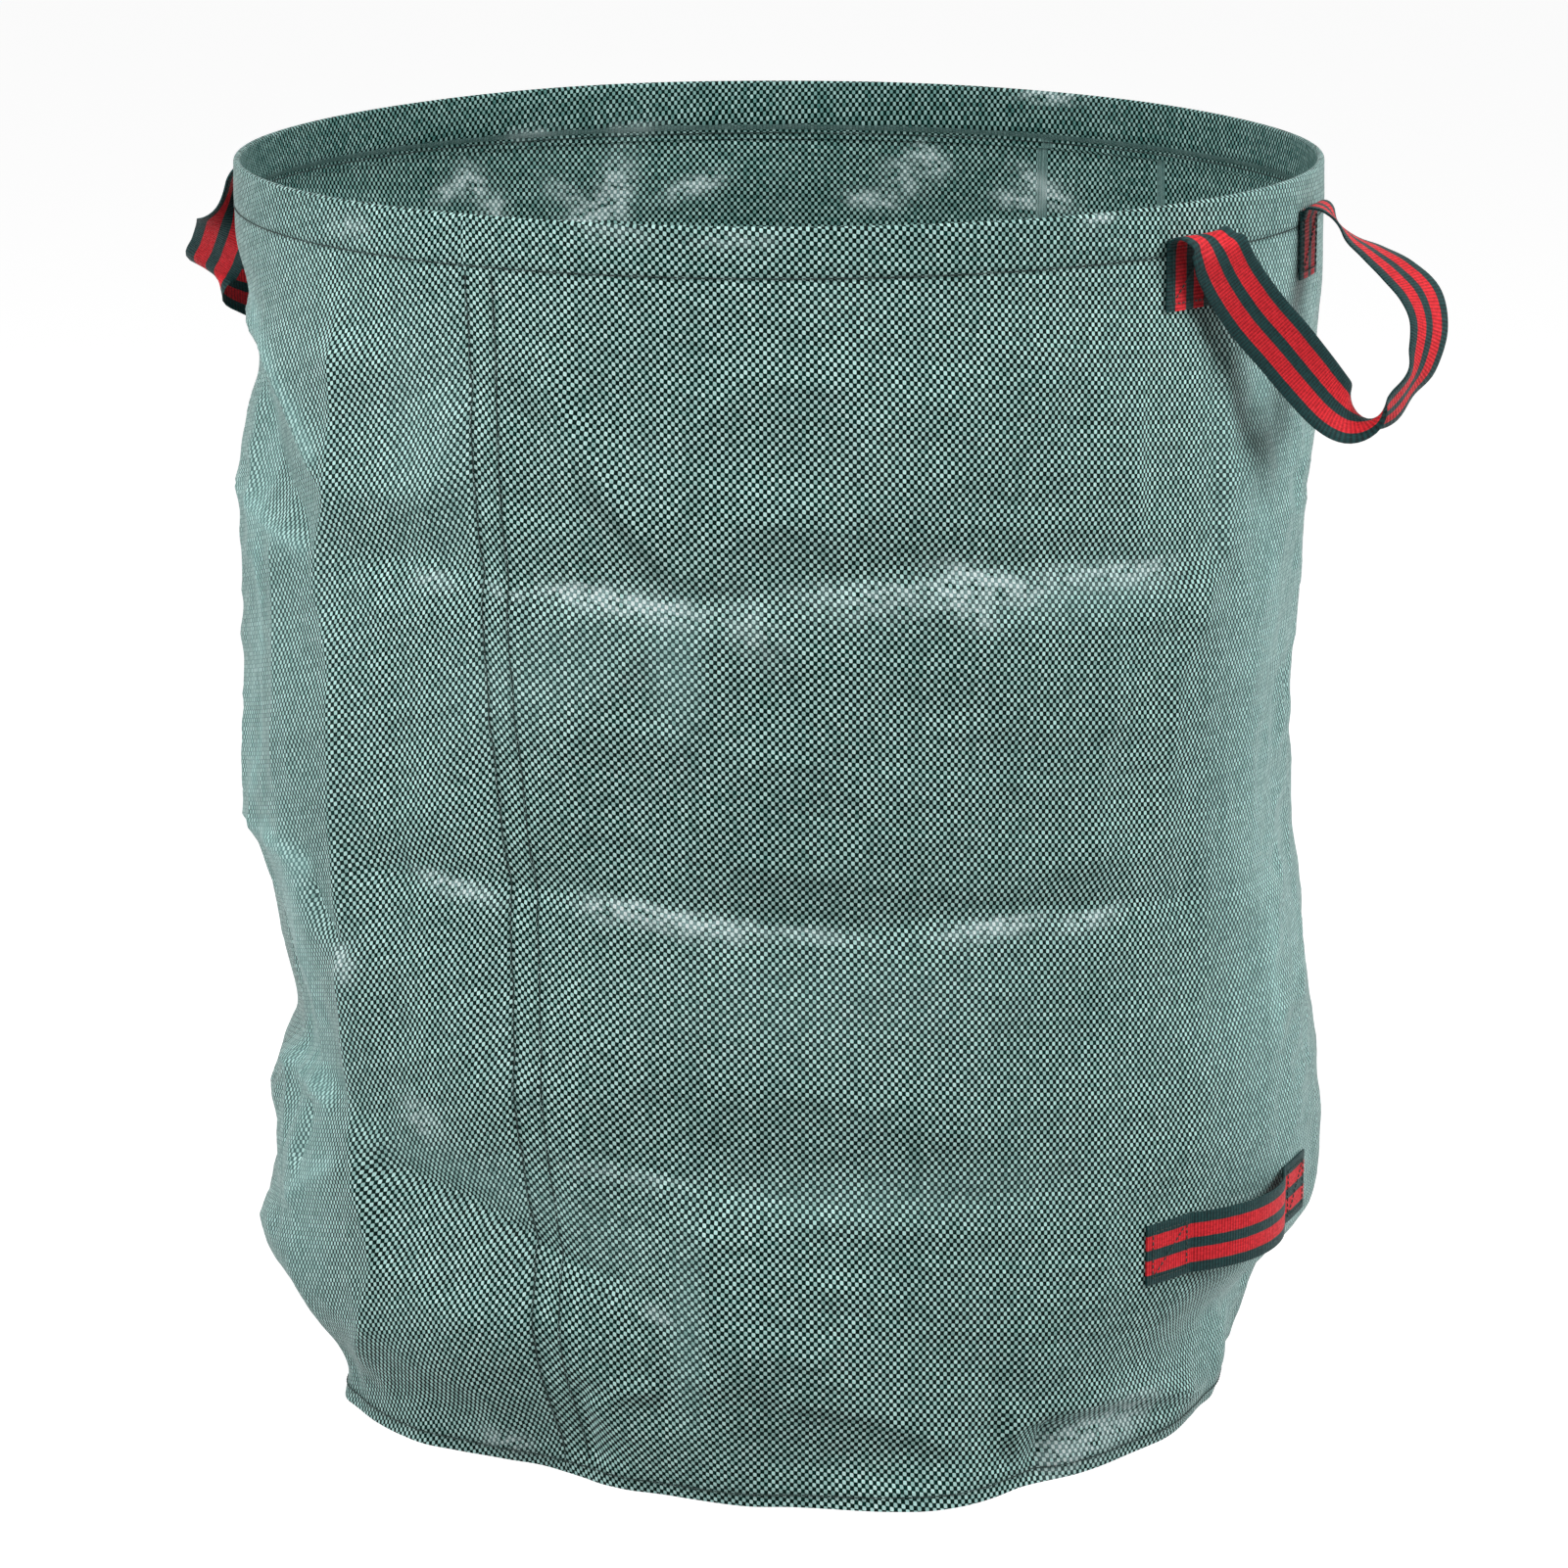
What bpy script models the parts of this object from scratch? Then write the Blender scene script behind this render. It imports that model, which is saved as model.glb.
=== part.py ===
"""Pop up leaf bag: a round bag of woven tape, with a sprung hoop in its rim, a sewn base and webbing handles.

Metres, +Z up. The origin is the centre of the base's underside. Azimuths are degrees from the front (-Y),
growing towards the right (+X).
"""
import math

import bmesh
import bpy
from mathutils import Vector

# The bag as a whole
BAG_RADIUS = 0.335
BAG_HEIGHT = 0.760
FABRIC = 0.0006
GAP = 0.0003
SEGMENTS = 72

# The rim: a hem that is turned in over a flat hoop, and sewn closed under it
HOOP_HEIGHT = 0.022
HOOP_THICKNESS = 0.0012
HOOP_END_GAP = 0.0025
JOINT_LENGTH = 0.060
JOINT_HEIGHT = 0.018
JOINT_THICKNESS = 0.0012
HEM_CLOSE = 0.0045
HEM_EDGE = 0.0022
HEM_TAIL = 0.0040
HEM_FOLD_STEPS = 4
HOOP_AZIMUTH = 180.0

# The wall: swells and dents of the standing fabric, and the tuck at the floor
SWELL = 0.020
SWELL_FADE = 0.045
SEAT_BAND = 0.008
TUCK_HEIGHT = 0.100
TUCK_POWER = 1.5
WALL_RING_SHARES = (
    0.0, 0.014, 0.034, 0.058, 0.085, 0.115, 0.15, 0.19, 0.235, 0.28, 0.325,
    0.37, 0.42, 0.475, 0.53, 0.585, 0.64, 0.70, 0.76, 0.82, 0.88, 0.94, 1.0,
)
# azimuth, height as a share of the bag's, half width in degrees, half height and rise as shares
SWELL_SHARES = (
    (92, 0.565, 42, 0.170, -0.73),
    (84, 0.215, 40, 0.110, 0.43),
    (-96, 0.872, 30, 0.070, -0.78),
    (-82, 0.291, 34, 0.080, -1.12),
    (-70, 0.590, 40, 0.130, 0.15),
    (10, 0.130, 34, 0.100, 0.45),
    (-4, 0.470, 26, 0.140, -0.20),
    (30, 0.720, 30, 0.110, 0.15),
    (-30, 0.340, 20, 0.090, 0.20),
    (165, 0.560, 40, 0.160, -0.55),
    (140, 0.240, 34, 0.110, 0.30),
    (-150, 0.300, 36, 0.120, -0.50),
    (-138, 0.640, 30, 0.140, 0.20),
    (-90, 0.620, 34, 0.250, -0.20),
    (-88, 0.406, 30, 0.060, -0.38),
    (-88, 0.223, 30, 0.050, -0.08),
    (-84, 0.160, 30, 0.040, -0.56),
    (-78, 0.080, 26, 0.040, 0.16),
    (-60, 0.000, 28, 0.055, -2.25),
    (64, 0.067, 26, 0.050, -1.73),
    (80, 0.120, 26, 0.040, 0.13),
    (88, 0.330, 30, 0.060, -0.10),
)
# radius of the floor seam every 15 degrees from the front, as shares of the bag's radius
FLOOR_SHARES = (
    0.998, 1.058, 0.995, 0.962, 0.915, 0.855, 0.840, 0.880, 0.900, 0.915, 0.925, 0.915,
    0.900, 0.905, 0.920, 0.930, 0.915, 0.890, 0.885, 0.825, 0.925, 0.945, 0.900, 0.965,
)

# The base: a flat disc, and its edge that turns up inside the wall
BASE_TURN_UP = 0.010

# The wall's own seam, which runs aslant down the front left
SEAM_TOP_AZIMUTH = -31.0
SEAM_FLOOR_AZIMUTH = -23.0
SEAM_WIDTH = 0.018
SEAM_LAP_MARGIN = 0.003

# Webbing and thread
WEB_WIDTH = 0.038
WEB = 0.0016
WEB_COLUMNS = 4
THREAD_RADIUS = 0.00025
THREAD_SIDES_RESOLUTION = 1

# The two rim handles: the middle of each, the spread of its ends and the length that is sewn down
RIGHT_HANDLE_AZIMUTH = 57.5
LEFT_HANDLE_AZIMUTH = -115.5
HANDLE_SPAN = 0.149
TAB_TOP_DROP = 0.016
TAB_LENGTH = 0.048
TAB_ROWS = 5
LOOP_DROP = 0.124
LOOP_REACH = 0.080
LOOP_STEPS = 3
# along the span from its middle, out from it and down from it, each as a share of HANDLE_SPAN / 2, LOOP_REACH
# and LOOP_DROP, and then the direction across the strap in the same three ways
RIGHT_LOOP_SHARES = (
    ((-1.00, 0.00, 0.00), (0.975, 0.221, 0.00)),
    ((-0.92, 0.04, 0.08), (0.96, 0.20, -0.18)),
    ((-0.62, 0.13, 0.28), (0.87, 0.18, -0.46)),
    ((-0.28, 0.23, 0.52), (0.82, 0.16, -0.55)),
    ((0.10, 0.34, 0.78), (0.80, 0.00, -0.60)),
    ((0.36, 0.48, 0.92), (0.80, -0.45, -0.40)),
    ((0.64, 0.70, 0.90), (0.78, -0.62, -0.10)),
    ((0.92, 0.94, 0.74), (0.60, -0.80, 0.00)),
    ((1.02, 0.97, 0.46), (0.50, -0.85, 0.12)),
    ((0.98, 0.68, 0.24), (0.52, -0.75, 0.40)),
    ((0.96, 0.34, 0.12), (0.80, -0.50, 0.33)),
    ((1.00, 0.10, 0.01), (0.96, -0.24, 0.08)),
    ((1.00, 0.00, 0.00), (0.975, -0.221, 0.00)),
)
LEFT_LOOP_SHARES = (
    ((-1.00, 0.00, 0.00), (0.975, 0.221, 0.00)),
    ((-1.01, 0.08, 0.06), (0.97, 0.22, -0.10)),
    ((-0.95, 0.14, 0.28), (0.86, 0.18, -0.48)),
    ((-0.80, 0.20, 0.55), (0.66, 0.14, -0.74)),
    ((-0.45, 0.28, 0.74), (0.42, 0.16, -0.89)),
    ((-0.05, 0.42, 0.78), (0.28, 0.30, -0.91)),
    ((0.32, 0.58, 0.72), (0.28, 0.52, -0.80)),
    ((0.54, 0.68, 0.63), (0.32, 0.68, -0.66)),
    ((0.68, 0.54, 0.52), (0.36, 0.62, -0.68)),
    ((0.88, 0.34, 0.36), (0.60, 0.20, -0.70)),
    ((1.00, 0.18, 0.17), (0.90, -0.25, -0.25)),
    ((1.02, 0.08, 0.03), (0.97, -0.22, -0.03)),
    ((1.00, 0.00, 0.00), (0.975, -0.221, 0.00)),
)

# The bottom handle: level webbing low on the right, for tipping the bag out
BOTTOM_HANDLE_AZIMUTH = 55.8
BOTTOM_HANDLE_SPAN = 0.109
BOTTOM_HANDLE_HEIGHT = 0.131
BOTTOM_TAB_LENGTH = 0.038
BOTTOM_STAND_OFF = 0.0145
BOTTOM_STEPS = 14

# The thread rows on the webbing ends
STITCH_INSET = 0.0045
STITCH_SPACING = 0.006

WOVEN_GREEN = (0.100, 0.178, 0.156, 1.0)
SEAM_GREEN = (0.120, 0.200, 0.176, 1.0)
BASE_GREEN = (0.070, 0.130, 0.115, 1.0)
WEBBING_RED = (0.560, 0.050, 0.062, 1.0)
WEBBING_GREEN = (0.022, 0.090, 0.088, 1.0)
THREAD_GREEN = (0.012, 0.045, 0.040, 1.0)
HOOP_BLACK = (0.020, 0.022, 0.022, 1.0)

# Sizes that follow from the driving ones
POCKET = 2 * FABRIC + HOOP_THICKNESS + JOINT_THICKNESS + 3 * GAP
HOOP_TOP = BAG_HEIGHT - POCKET / 2 - GAP
HOOP_BOTTOM = HOOP_TOP - HOOP_HEIGHT
STITCH_HEIGHT = HOOP_BOTTOM - HEM_CLOSE
HEM_BOTTOM = STITCH_HEIGHT - HEM_EDGE
WALL_TOP = HEM_BOTTOM - GAP
WALL_HEIGHTS = [share * (WALL_TOP - SEAT_BAND) for share in WALL_RING_SHARES] + [WALL_TOP]
STEP_ANGLE = 360.0 / SEGMENTS
FACET_RISE = BAG_RADIUS * (1 - math.cos(math.radians(STEP_ANGLE / 2)))
WALL_SEAT = FACET_RISE + GAP
HEM_SEAT = WALL_SEAT + 2 * THREAD_RADIUS + GAP


def bearing(azimuth):
    """The level unit vector that points out from the axis at an azimuth."""
    turn = math.radians(azimuth)
    return Vector((math.sin(turn), -math.cos(turn), 0))


def arc_degrees(length, radius):
    """The angle that a length takes up on a circle."""
    return math.degrees(length / radius)


def smooth(share):
    """Ease from 0 to 1."""
    held = min(max(share, 0.0), 1.0)
    return held * held * (3 - 2 * held)


def floor_radius(azimuth):
    """Outer radius of the wall where it meets the floor."""
    place = (azimuth % 360.0) / 360.0 * len(FLOOR_SHARES)
    low = int(place)
    first = FLOOR_SHARES[low % len(FLOOR_SHARES)]
    second = FLOOR_SHARES[(low + 1) % len(FLOOR_SHARES)]
    return BAG_RADIUS * (first + (second - first) * smooth(place - low))


def wall_radius(azimuth, height):
    """Outer radius of the wall, with its swells, dents and the tuck at the floor."""
    swell = 0.0
    for middle, level, half_width, half_height, rise in SWELL_SHARES:
        turn = (azimuth - middle + 180.0) % 360.0 - 180.0
        across = turn / half_width
        along = (height / BAG_HEIGHT - level) / half_height
        swell += rise * math.exp(-across * across - along * along)
    swell *= SWELL * smooth((WALL_TOP - SEAT_BAND - height) / SWELL_FADE)
    full = BAG_RADIUS + swell
    tuck = max(1.0 - height / TUCK_HEIGHT, 0.0) ** TUCK_POWER
    return full + (floor_radius(azimuth) - full) * tuck


def wall_corner(column, row):
    """A corner of the wall's own facets."""
    azimuth = column * STEP_ANGLE
    height = WALL_HEIGHTS[row]
    return bearing(azimuth) * wall_radius(azimuth, height) + Vector((0, 0, height))


def ring_point(azimuth, radius, height):
    """A point on a facet of a many-sided ring, so that rings of other radii nest in it evenly."""
    place = azimuth / STEP_ANGLE
    low = math.floor(place)
    first = bearing(low * STEP_ANGLE)
    second = bearing((low + 1) * STEP_ANGLE)
    return first.lerp(second, place - low) * radius + Vector((0, 0, height))


def skin_point(azimuth, height, proud=0.0):
    """A point on the outside of the wall or, above the wall, of the hem; proud moves it outwards."""
    if height >= WALL_TOP:
        return ring_point(azimuth, BAG_RADIUS, height) + bearing(azimuth) * proud
    row = 0
    while WALL_HEIGHTS[row + 1] < height:
        row += 1
    rise = (height - WALL_HEIGHTS[row]) / (WALL_HEIGHTS[row + 1] - WALL_HEIGHTS[row])
    place = azimuth / STEP_ANGLE
    column = math.floor(place)
    low = wall_corner(column, row).lerp(wall_corner(column + 1, row), place - column)
    high = wall_corner(column, row + 1).lerp(wall_corner(column + 1, row + 1), place - column)
    return low.lerp(high, rise) + bearing(azimuth) * proud


def clear_scene():
    """Remove every object that the scene starts with."""
    for thing in list(bpy.data.objects):
        bpy.data.objects.remove(thing, do_unlink=True)


def new_collection(name):
    """A collection for the bag's pieces."""
    collection = bpy.data.collections.new(name)
    bpy.context.scene.collection.children.link(collection)
    return collection


def new_material(name, color, roughness, metallic=0.0):
    """A plain material with one colour."""
    material = bpy.data.materials.new(name)
    material.use_nodes = True
    shader = material.node_tree.nodes["Principled BSDF"]
    shader.inputs["Base Color"].default_value = color
    shader.inputs["Roughness"].default_value = roughness
    shader.inputs["Metallic"].default_value = metallic
    material.diffuse_color = color
    return material


def place_piece(name, data, collection, material):
    """Put a mesh or curve in the bag's collection, with its material."""
    piece = bpy.data.objects.new(name, data)
    collection.objects.link(piece)
    data.materials.append(material)
    return piece


def add_thickness(piece, thickness, offset):
    """Give an open surface its thickness: -1 behind its face, 0 on both sides."""
    shell = piece.modifiers.new("Thickness", "SOLIDIFY")
    shell.thickness = thickness
    shell.offset = offset
    shell.use_even_offset = True
    shell.use_rim = True
    return shell


def loft(name, rows, collection, material, closed=False, capped=False):
    """A surface through rows of points: closed joins each row's ends, capped fans the last row's middle."""
    mesh = bpy.data.meshes.new(name)
    build = bmesh.new()
    grid = [[build.verts.new(point) for point in row] for row in rows]
    count = len(grid[0])
    for low, high in zip(grid, grid[1:]):
        for column in range(count if closed else count - 1):
            after = (column + 1) % count
            build.faces.new((low[column], low[after], high[after], high[column]))
    if capped:
        last = grid[-1]
        middle = sum((vert.co for vert in last), Vector()) / count
        hub = build.verts.new(middle)
        for column in range(count):
            build.faces.new((last[column], last[(column + 1) % count], hub))
    build.to_mesh(mesh)
    build.free()
    mesh.shade_smooth()
    mesh.set_sharp_from_angle(angle=math.radians(40))
    return place_piece(name, mesh, collection, material)


def thread(name, runs, collection, material, cyclic=False):
    """Sewing thread that follows one or more runs of points."""
    curve = bpy.data.curves.new(name, "CURVE")
    curve.dimensions = "3D"
    curve.bevel_depth = THREAD_RADIUS
    curve.bevel_resolution = THREAD_SIDES_RESOLUTION
    curve.use_fill_caps = not cyclic
    for run in runs:
        spline = curve.splines.new("POLY")
        spline.points.add(len(run) - 1)
        for point, place in zip(spline.points, run):
            point.co = (*place, 1)
        spline.use_cyclic_u = cyclic
    return place_piece(name, curve, collection, material)


def ribbon_rows(middles, acrosses):
    """Rows of points for a flat strap: each row lies across the strap at one place along it."""
    rows = []
    for middle, across in zip(middles, acrosses):
        shares = [column / WEB_COLUMNS - 0.5 for column in range(WEB_COLUMNS + 1)]
        rows.append([middle + across * (WEB_WIDTH * share) for share in shares])
    return rows


def smooth_run(places, steps):
    """A smooth run through places, with steps between each two of them."""
    run = []
    last = len(places) - 1
    for index in range(last):
        before = places[max(index - 1, 0)]
        start = places[index]
        end = places[index + 1]
        after = places[min(index + 2, last)]
        for step in range(steps):
            share = step / steps
            square = share * share
            cube = square * share
            run.append(
                0.5 * (2 * start + (end - before) * share
                       + (2 * before - 5 * start + 4 * end - after) * square
                       + (3 * start - before - 3 * end + after) * cube)
            )
    run.append(places[-1].copy())
    return run


def build_side_wall(collection, material):
    """The wall: one lofted sheet from the floor seam to the hem, open at both ends."""
    rows = [[wall_corner(column, row) for column in range(SEGMENTS)] for row in range(len(WALL_HEIGHTS))]
    wall = loft("side_wall", rows, collection, material, closed=True)
    add_thickness(wall, FABRIC, -1)


def build_seam_lap(collection, material):
    """The other edge of the wall's sheet, which laps behind the seam."""
    half = SEAM_WIDTH / 2 + SEAM_LAP_MARGIN
    low, high = BASE_TURN_UP + FABRIC + GAP, STITCH_HEIGHT - HEM_TAIL - HEM_EDGE - GAP
    heights = [low] + [height for height in WALL_HEIGHTS if low < height < high] + [high]
    rows = []
    for height in heights:
        middle = seam_azimuth(height)
        spread = arc_degrees(half, BAG_RADIUS)
        rows.append([
            skin_point(middle + side * spread, height, -FABRIC - 3 * GAP) for side in (-1, -0.5, 0, 0.5, 1)
        ])
    lap = loft("seam_lap", rows, collection, material)
    add_thickness(lap, FABRIC, -1)


def seam_azimuth(height):
    """Where the wall's seam is at a height."""
    return SEAM_FLOOR_AZIMUTH + (SEAM_TOP_AZIMUTH - SEAM_FLOOR_AZIMUTH) * height / BAG_HEIGHT


def build_seam_stitching(collection, material):
    """The two rows of thread that hold the wall's seam."""
    for name, side in (("seam_stitching_left", -0.5), ("seam_stitching_right", 0.5)):
        offset = arc_degrees(SEAM_WIDTH * side, BAG_RADIUS)
        low = BASE_TURN_UP + HEM_EDGE
        high = HEM_BOTTOM - HEM_EDGE
        heights = [low] + [height for height in WALL_HEIGHTS if low < height < high] + [high]
        proud = GAP + THREAD_RADIUS
        run = [skin_point(seam_azimuth(height) + offset, height, proud) for height in heights]
        thread(name, [run], collection, material)


def base_ring(height):
    """A ring of points just inside the wall."""
    inset = FABRIC + 3 * GAP
    return [skin_point(column * STEP_ANGLE, height, -inset) for column in range(SEGMENTS)]


def build_base(collection, material):
    """The base: a flat disc on the floor, and its edge that turns up inside the wall."""
    disc = loft("base_panel", [base_ring(0.0)], collection, material, closed=True, capped=True)
    add_thickness(disc, FABRIC, 1)
    heights = (FABRIC + GAP, BASE_TURN_UP / 2, BASE_TURN_UP)
    edge = loft("base_edge", [base_ring(height) for height in heights], collection, material, closed=True)
    add_thickness(edge, FABRIC, -1)


def build_base_stitching(collection, material):
    """The thread that closes the floor seam, near the top of the base's turned-up edge."""
    height = BASE_TURN_UP - HEM_EDGE
    proud = GAP + THREAD_RADIUS
    run = [skin_point(column * STEP_ANGLE, height, proud) for column in range(SEGMENTS)]
    thread("base_stitching", [run], collection, material, cyclic=True)


def build_rim_hem(collection, material):
    """The hem: up the outside, over the hoop, down the inside, and out again to the row that closes it."""
    fold = POCKET / 2
    crown = BAG_HEIGHT - fold
    inner = BAG_RADIUS - POCKET
    closed = BAG_RADIUS - 2 * FABRIC - GAP
    profile = [(BAG_RADIUS, HEM_BOTTOM), (BAG_RADIUS, crown)]
    for step in range(1, HEM_FOLD_STEPS):
        turn = math.pi * step / HEM_FOLD_STEPS
        profile.append((BAG_RADIUS - fold + fold * math.cos(turn), crown + fold * math.sin(turn)))
    profile += [
        (inner, crown),
        (inner, HOOP_BOTTOM - GAP),
        (closed, STITCH_HEIGHT),
        (closed, HEM_BOTTOM - HEM_TAIL),
    ]
    mesh = bpy.data.meshes.new("rim_hem")
    points = [(radius, 0, height) for radius, height in profile]
    mesh.from_pydata(points, [(index, index + 1) for index in range(len(points) - 1)], [])
    hem = place_piece("rim_hem", mesh, collection, material)
    turned = hem.modifiers.new("Turned", "SCREW")
    turned.steps = SEGMENTS
    turned.render_steps = SEGMENTS
    turned.use_merge_vertices = True
    turned.merge_threshold = GAP / 3
    turned.use_normal_flip = True
    add_thickness(hem, FABRIC, -1)


def band_rows(radius, low, high, start, end):
    """Rows of points for an upright band that follows the rim from one azimuth to another."""
    first = math.floor(start / STEP_ANGLE) + 1
    last = math.ceil(end / STEP_ANGLE) - 1
    azimuths = [start] + [column * STEP_ANGLE for column in range(first, last + 1)] + [end]
    return [[ring_point(azimuth, radius, height) for azimuth in azimuths] for height in (low, high)]


def build_rim_hoop(collection, material):
    """The sprung hoop: a flat strip round the rim, with its two ends a little apart at the back."""
    radius = BAG_RADIUS - FABRIC - GAP
    opening = arc_degrees(HOOP_END_GAP / 2, BAG_RADIUS)
    start, end = HOOP_AZIMUTH - 360.0 + opening, HOOP_AZIMUTH - opening
    hoop = loft("rim_hoop", band_rows(radius, HOOP_BOTTOM, HOOP_TOP, start, end), collection, material)
    add_thickness(hoop, HOOP_THICKNESS, -1)


def build_hoop_joint(collection, material):
    """The strip behind the hoop's two ends, which joins them."""
    radius = BAG_RADIUS - FABRIC - HOOP_THICKNESS - 2 * GAP
    half = arc_degrees(JOINT_LENGTH / 2, BAG_RADIUS)
    low = HOOP_BOTTOM + (HOOP_HEIGHT - JOINT_HEIGHT) / 2
    rows = band_rows(radius, low, low + JOINT_HEIGHT, HOOP_AZIMUTH - half, HOOP_AZIMUTH + half)
    joint = loft("hoop_joint", rows, collection, material)
    add_thickness(joint, JOINT_THICKNESS, -1)


def build_hem_stitching(collection, material):
    """The row of thread that closes the hem under the hoop."""
    radius = BAG_RADIUS + GAP + THREAD_RADIUS
    run = [ring_point(column * STEP_ANGLE, radius, STITCH_HEIGHT) for column in range(SEGMENTS)]
    thread("hem_stitching", [run], collection, material, cyclic=True)


def sewn_patch(name, span, rise, seat, collection, material):
    """One sewn-down end of a handle, between two azimuths and two heights, at a seat off the skin."""
    start, end = span
    low, high = rise
    count = max(WEB_COLUMNS, math.ceil((end - start) / STEP_ANGLE))
    azimuths = [start + (end - start) * column / count for column in range(count + 1)]
    heights = [low + (high - low) * row / TAB_ROWS for row in range(TAB_ROWS + 1)]
    rows = [[skin_point(azimuth, height, seat) for azimuth in azimuths] for height in heights]
    patch = loft(name, rows, collection, material)
    add_thickness(patch, WEB, 1)


def patch_stitching(name, span, rise, seat, collection, material):
    """The thread of a sewn-down end: one run that turns back and forth across it."""
    proud = seat + WEB + FACET_RISE + 2 * GAP + THREAD_RADIUS
    side = arc_degrees(STITCH_INSET, BAG_RADIUS)
    left, right = span[0] + side, span[1] - side
    bottom, top = rise[0] + STITCH_INSET, rise[1] - STITCH_INSET
    middle = bottom + STITCH_SPACING
    turns = ((left, bottom), (right, bottom), (right, middle), (left, middle), (left, top), (right, top))
    run = [skin_point(left, bottom, proud)]
    for (azimuth, height), (next_azimuth, next_height) in zip(turns, turns[1:]):
        for step in range(1, TAB_ROWS + 1):
            share = step / TAB_ROWS
            along = azimuth + (next_azimuth - azimuth) * share
            up = height + (next_height - height) * share
            run.append(skin_point(along, up, proud))
    thread(name, [run], collection, material)


def handle_frame(azimuth):
    """The middle of a rim handle's hinge line, its along, outward and downward directions, and half its span."""
    half = math.degrees(math.asin(HANDLE_SPAN / 2 / BAG_RADIUS))
    proud = BAG_RADIUS + HEM_SEAT + WEB + 1.5 * GAP + WEB / 2
    outward = bearing(azimuth)
    along = bearing(azimuth + 90)
    middle = outward * (proud * math.cos(math.radians(half))) + Vector((0, 0, BAG_HEIGHT - TAB_TOP_DROP))
    return middle, along, outward, Vector((0, 0, -1)), half


def placed(shares, along, outward, down, reach):
    """A vector from its shares along, out and down."""
    return along * (shares[0] * reach[0]) + outward * (shares[1] * reach[1]) + down * (shares[2] * reach[2])


def build_rim_handle(side, azimuth, ends, shares, collection, red, thread_material):
    """A rim handle: two sewn-down ends on the hem and the loop of webbing that hangs between them."""
    middle, along, outward, down, half = handle_frame(azimuth)
    spread = arc_degrees(WEB_WIDTH / 2, BAG_RADIUS)
    top = BAG_HEIGHT - TAB_TOP_DROP
    for end, centre in zip(ends, (azimuth - half, azimuth + half)):
        name = f"{side}_handle_{end}_tab"
        span, rise = (centre - spread, centre + spread), (top - TAB_LENGTH, top)
        sewn_patch(name, span, rise, HEM_SEAT, collection, red)
        patch_stitching(f"{name}_stitching", span, rise, HEM_SEAT, collection, thread_material)

    hinge = bpy.data.objects.new(f"{side}_handle_hinge", None)
    hinge.location = middle
    hinge.empty_display_size = WEB_WIDTH
    collection.objects.link(hinge)
    reach = (HANDLE_SPAN / 2 * (1 + (HEM_SEAT + 2 * WEB) / BAG_RADIUS), LOOP_REACH, LOOP_DROP)
    places = [placed(place, along, outward, down, reach) for place, _ in shares]
    middles = smooth_run(places, LOOP_STEPS)
    acrosses = smooth_run([placed(across, along, outward, down, (1, 1, 1)) for _, across in shares], LOOP_STEPS)
    squared = []
    for index, across in enumerate(acrosses):
        before = middles[max(index - 1, 0)]
        after = middles[min(index + 1, len(middles) - 1)]
        tangent = (after - before).normalized()
        hold = smooth(min(index, len(middles) - 1 - index) / (2 * LOOP_STEPS))
        seated = bearing(azimuth + 90 + (half if 2 * index > len(middles) else -half))
        free = (across - tangent * across.dot(tangent)).normalized()
        squared.append(seated.lerp(free, hold).normalized())
    loop = loft(f"{side}_handle_loop", ribbon_rows(middles, squared), collection, red)
    add_thickness(loop, WEB, 0)
    loop.parent = hinge


def build_bottom_handle(collection, red, thread_material):
    """The bottom handle: two sewn-down ends and the level span between them, which stands off the wall."""
    half = arc_degrees(BOTTOM_HANDLE_SPAN / 2, BAG_RADIUS)
    tab = arc_degrees(BOTTOM_TAB_LENGTH, BAG_RADIUS)
    low = BOTTOM_HANDLE_HEIGHT - WEB_WIDTH / 2
    high = BOTTOM_HANDLE_HEIGHT + WEB_WIDTH / 2
    ends = (
        ("front", BOTTOM_HANDLE_AZIMUTH - half - tab, BOTTOM_HANDLE_AZIMUTH - half),
        ("rear", BOTTOM_HANDLE_AZIMUTH + half, BOTTOM_HANDLE_AZIMUTH + half + tab),
    )
    for end, start, stop in ends:
        name = f"bottom_handle_{end}_tab"
        sewn_patch(name, (start, stop), (low, high), WALL_SEAT, collection, red)
        patch_stitching(f"{name}_stitching", (start, stop), (low, high), WALL_SEAT, collection, thread_material)

    seated = WALL_SEAT + WEB / 2
    clear = arc_degrees(2 * GAP, BAG_RADIUS)
    rows = []
    for step in range(BOTTOM_STEPS + 1):
        share = 2 * step / BOTTOM_STEPS - 1
        azimuth = BOTTOM_HANDLE_AZIMUTH + share * (half - clear)
        bow = BOTTOM_STAND_OFF * (1 - share * share)
        heights = [high - WEB_WIDTH * column / WEB_COLUMNS for column in range(WEB_COLUMNS + 1)]
        radius = max(skin_point(azimuth, height, seated + bow).xy.length for height in heights)
        rows.append([bearing(azimuth) * radius + Vector((0, 0, height)) for height in heights])
    start, stop = rows[0][0], rows[-1][0]
    hinge = bpy.data.objects.new("bottom_handle_hinge", None)
    hinge.location = (start + stop) / 2
    hinge.empty_display_size = WEB_WIDTH
    collection.objects.link(hinge)
    local = [[point - hinge.location for point in row] for row in rows]
    span = loft("bottom_handle_span", local, collection, red)
    add_thickness(span, WEB, 0)
    span.parent = hinge


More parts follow.
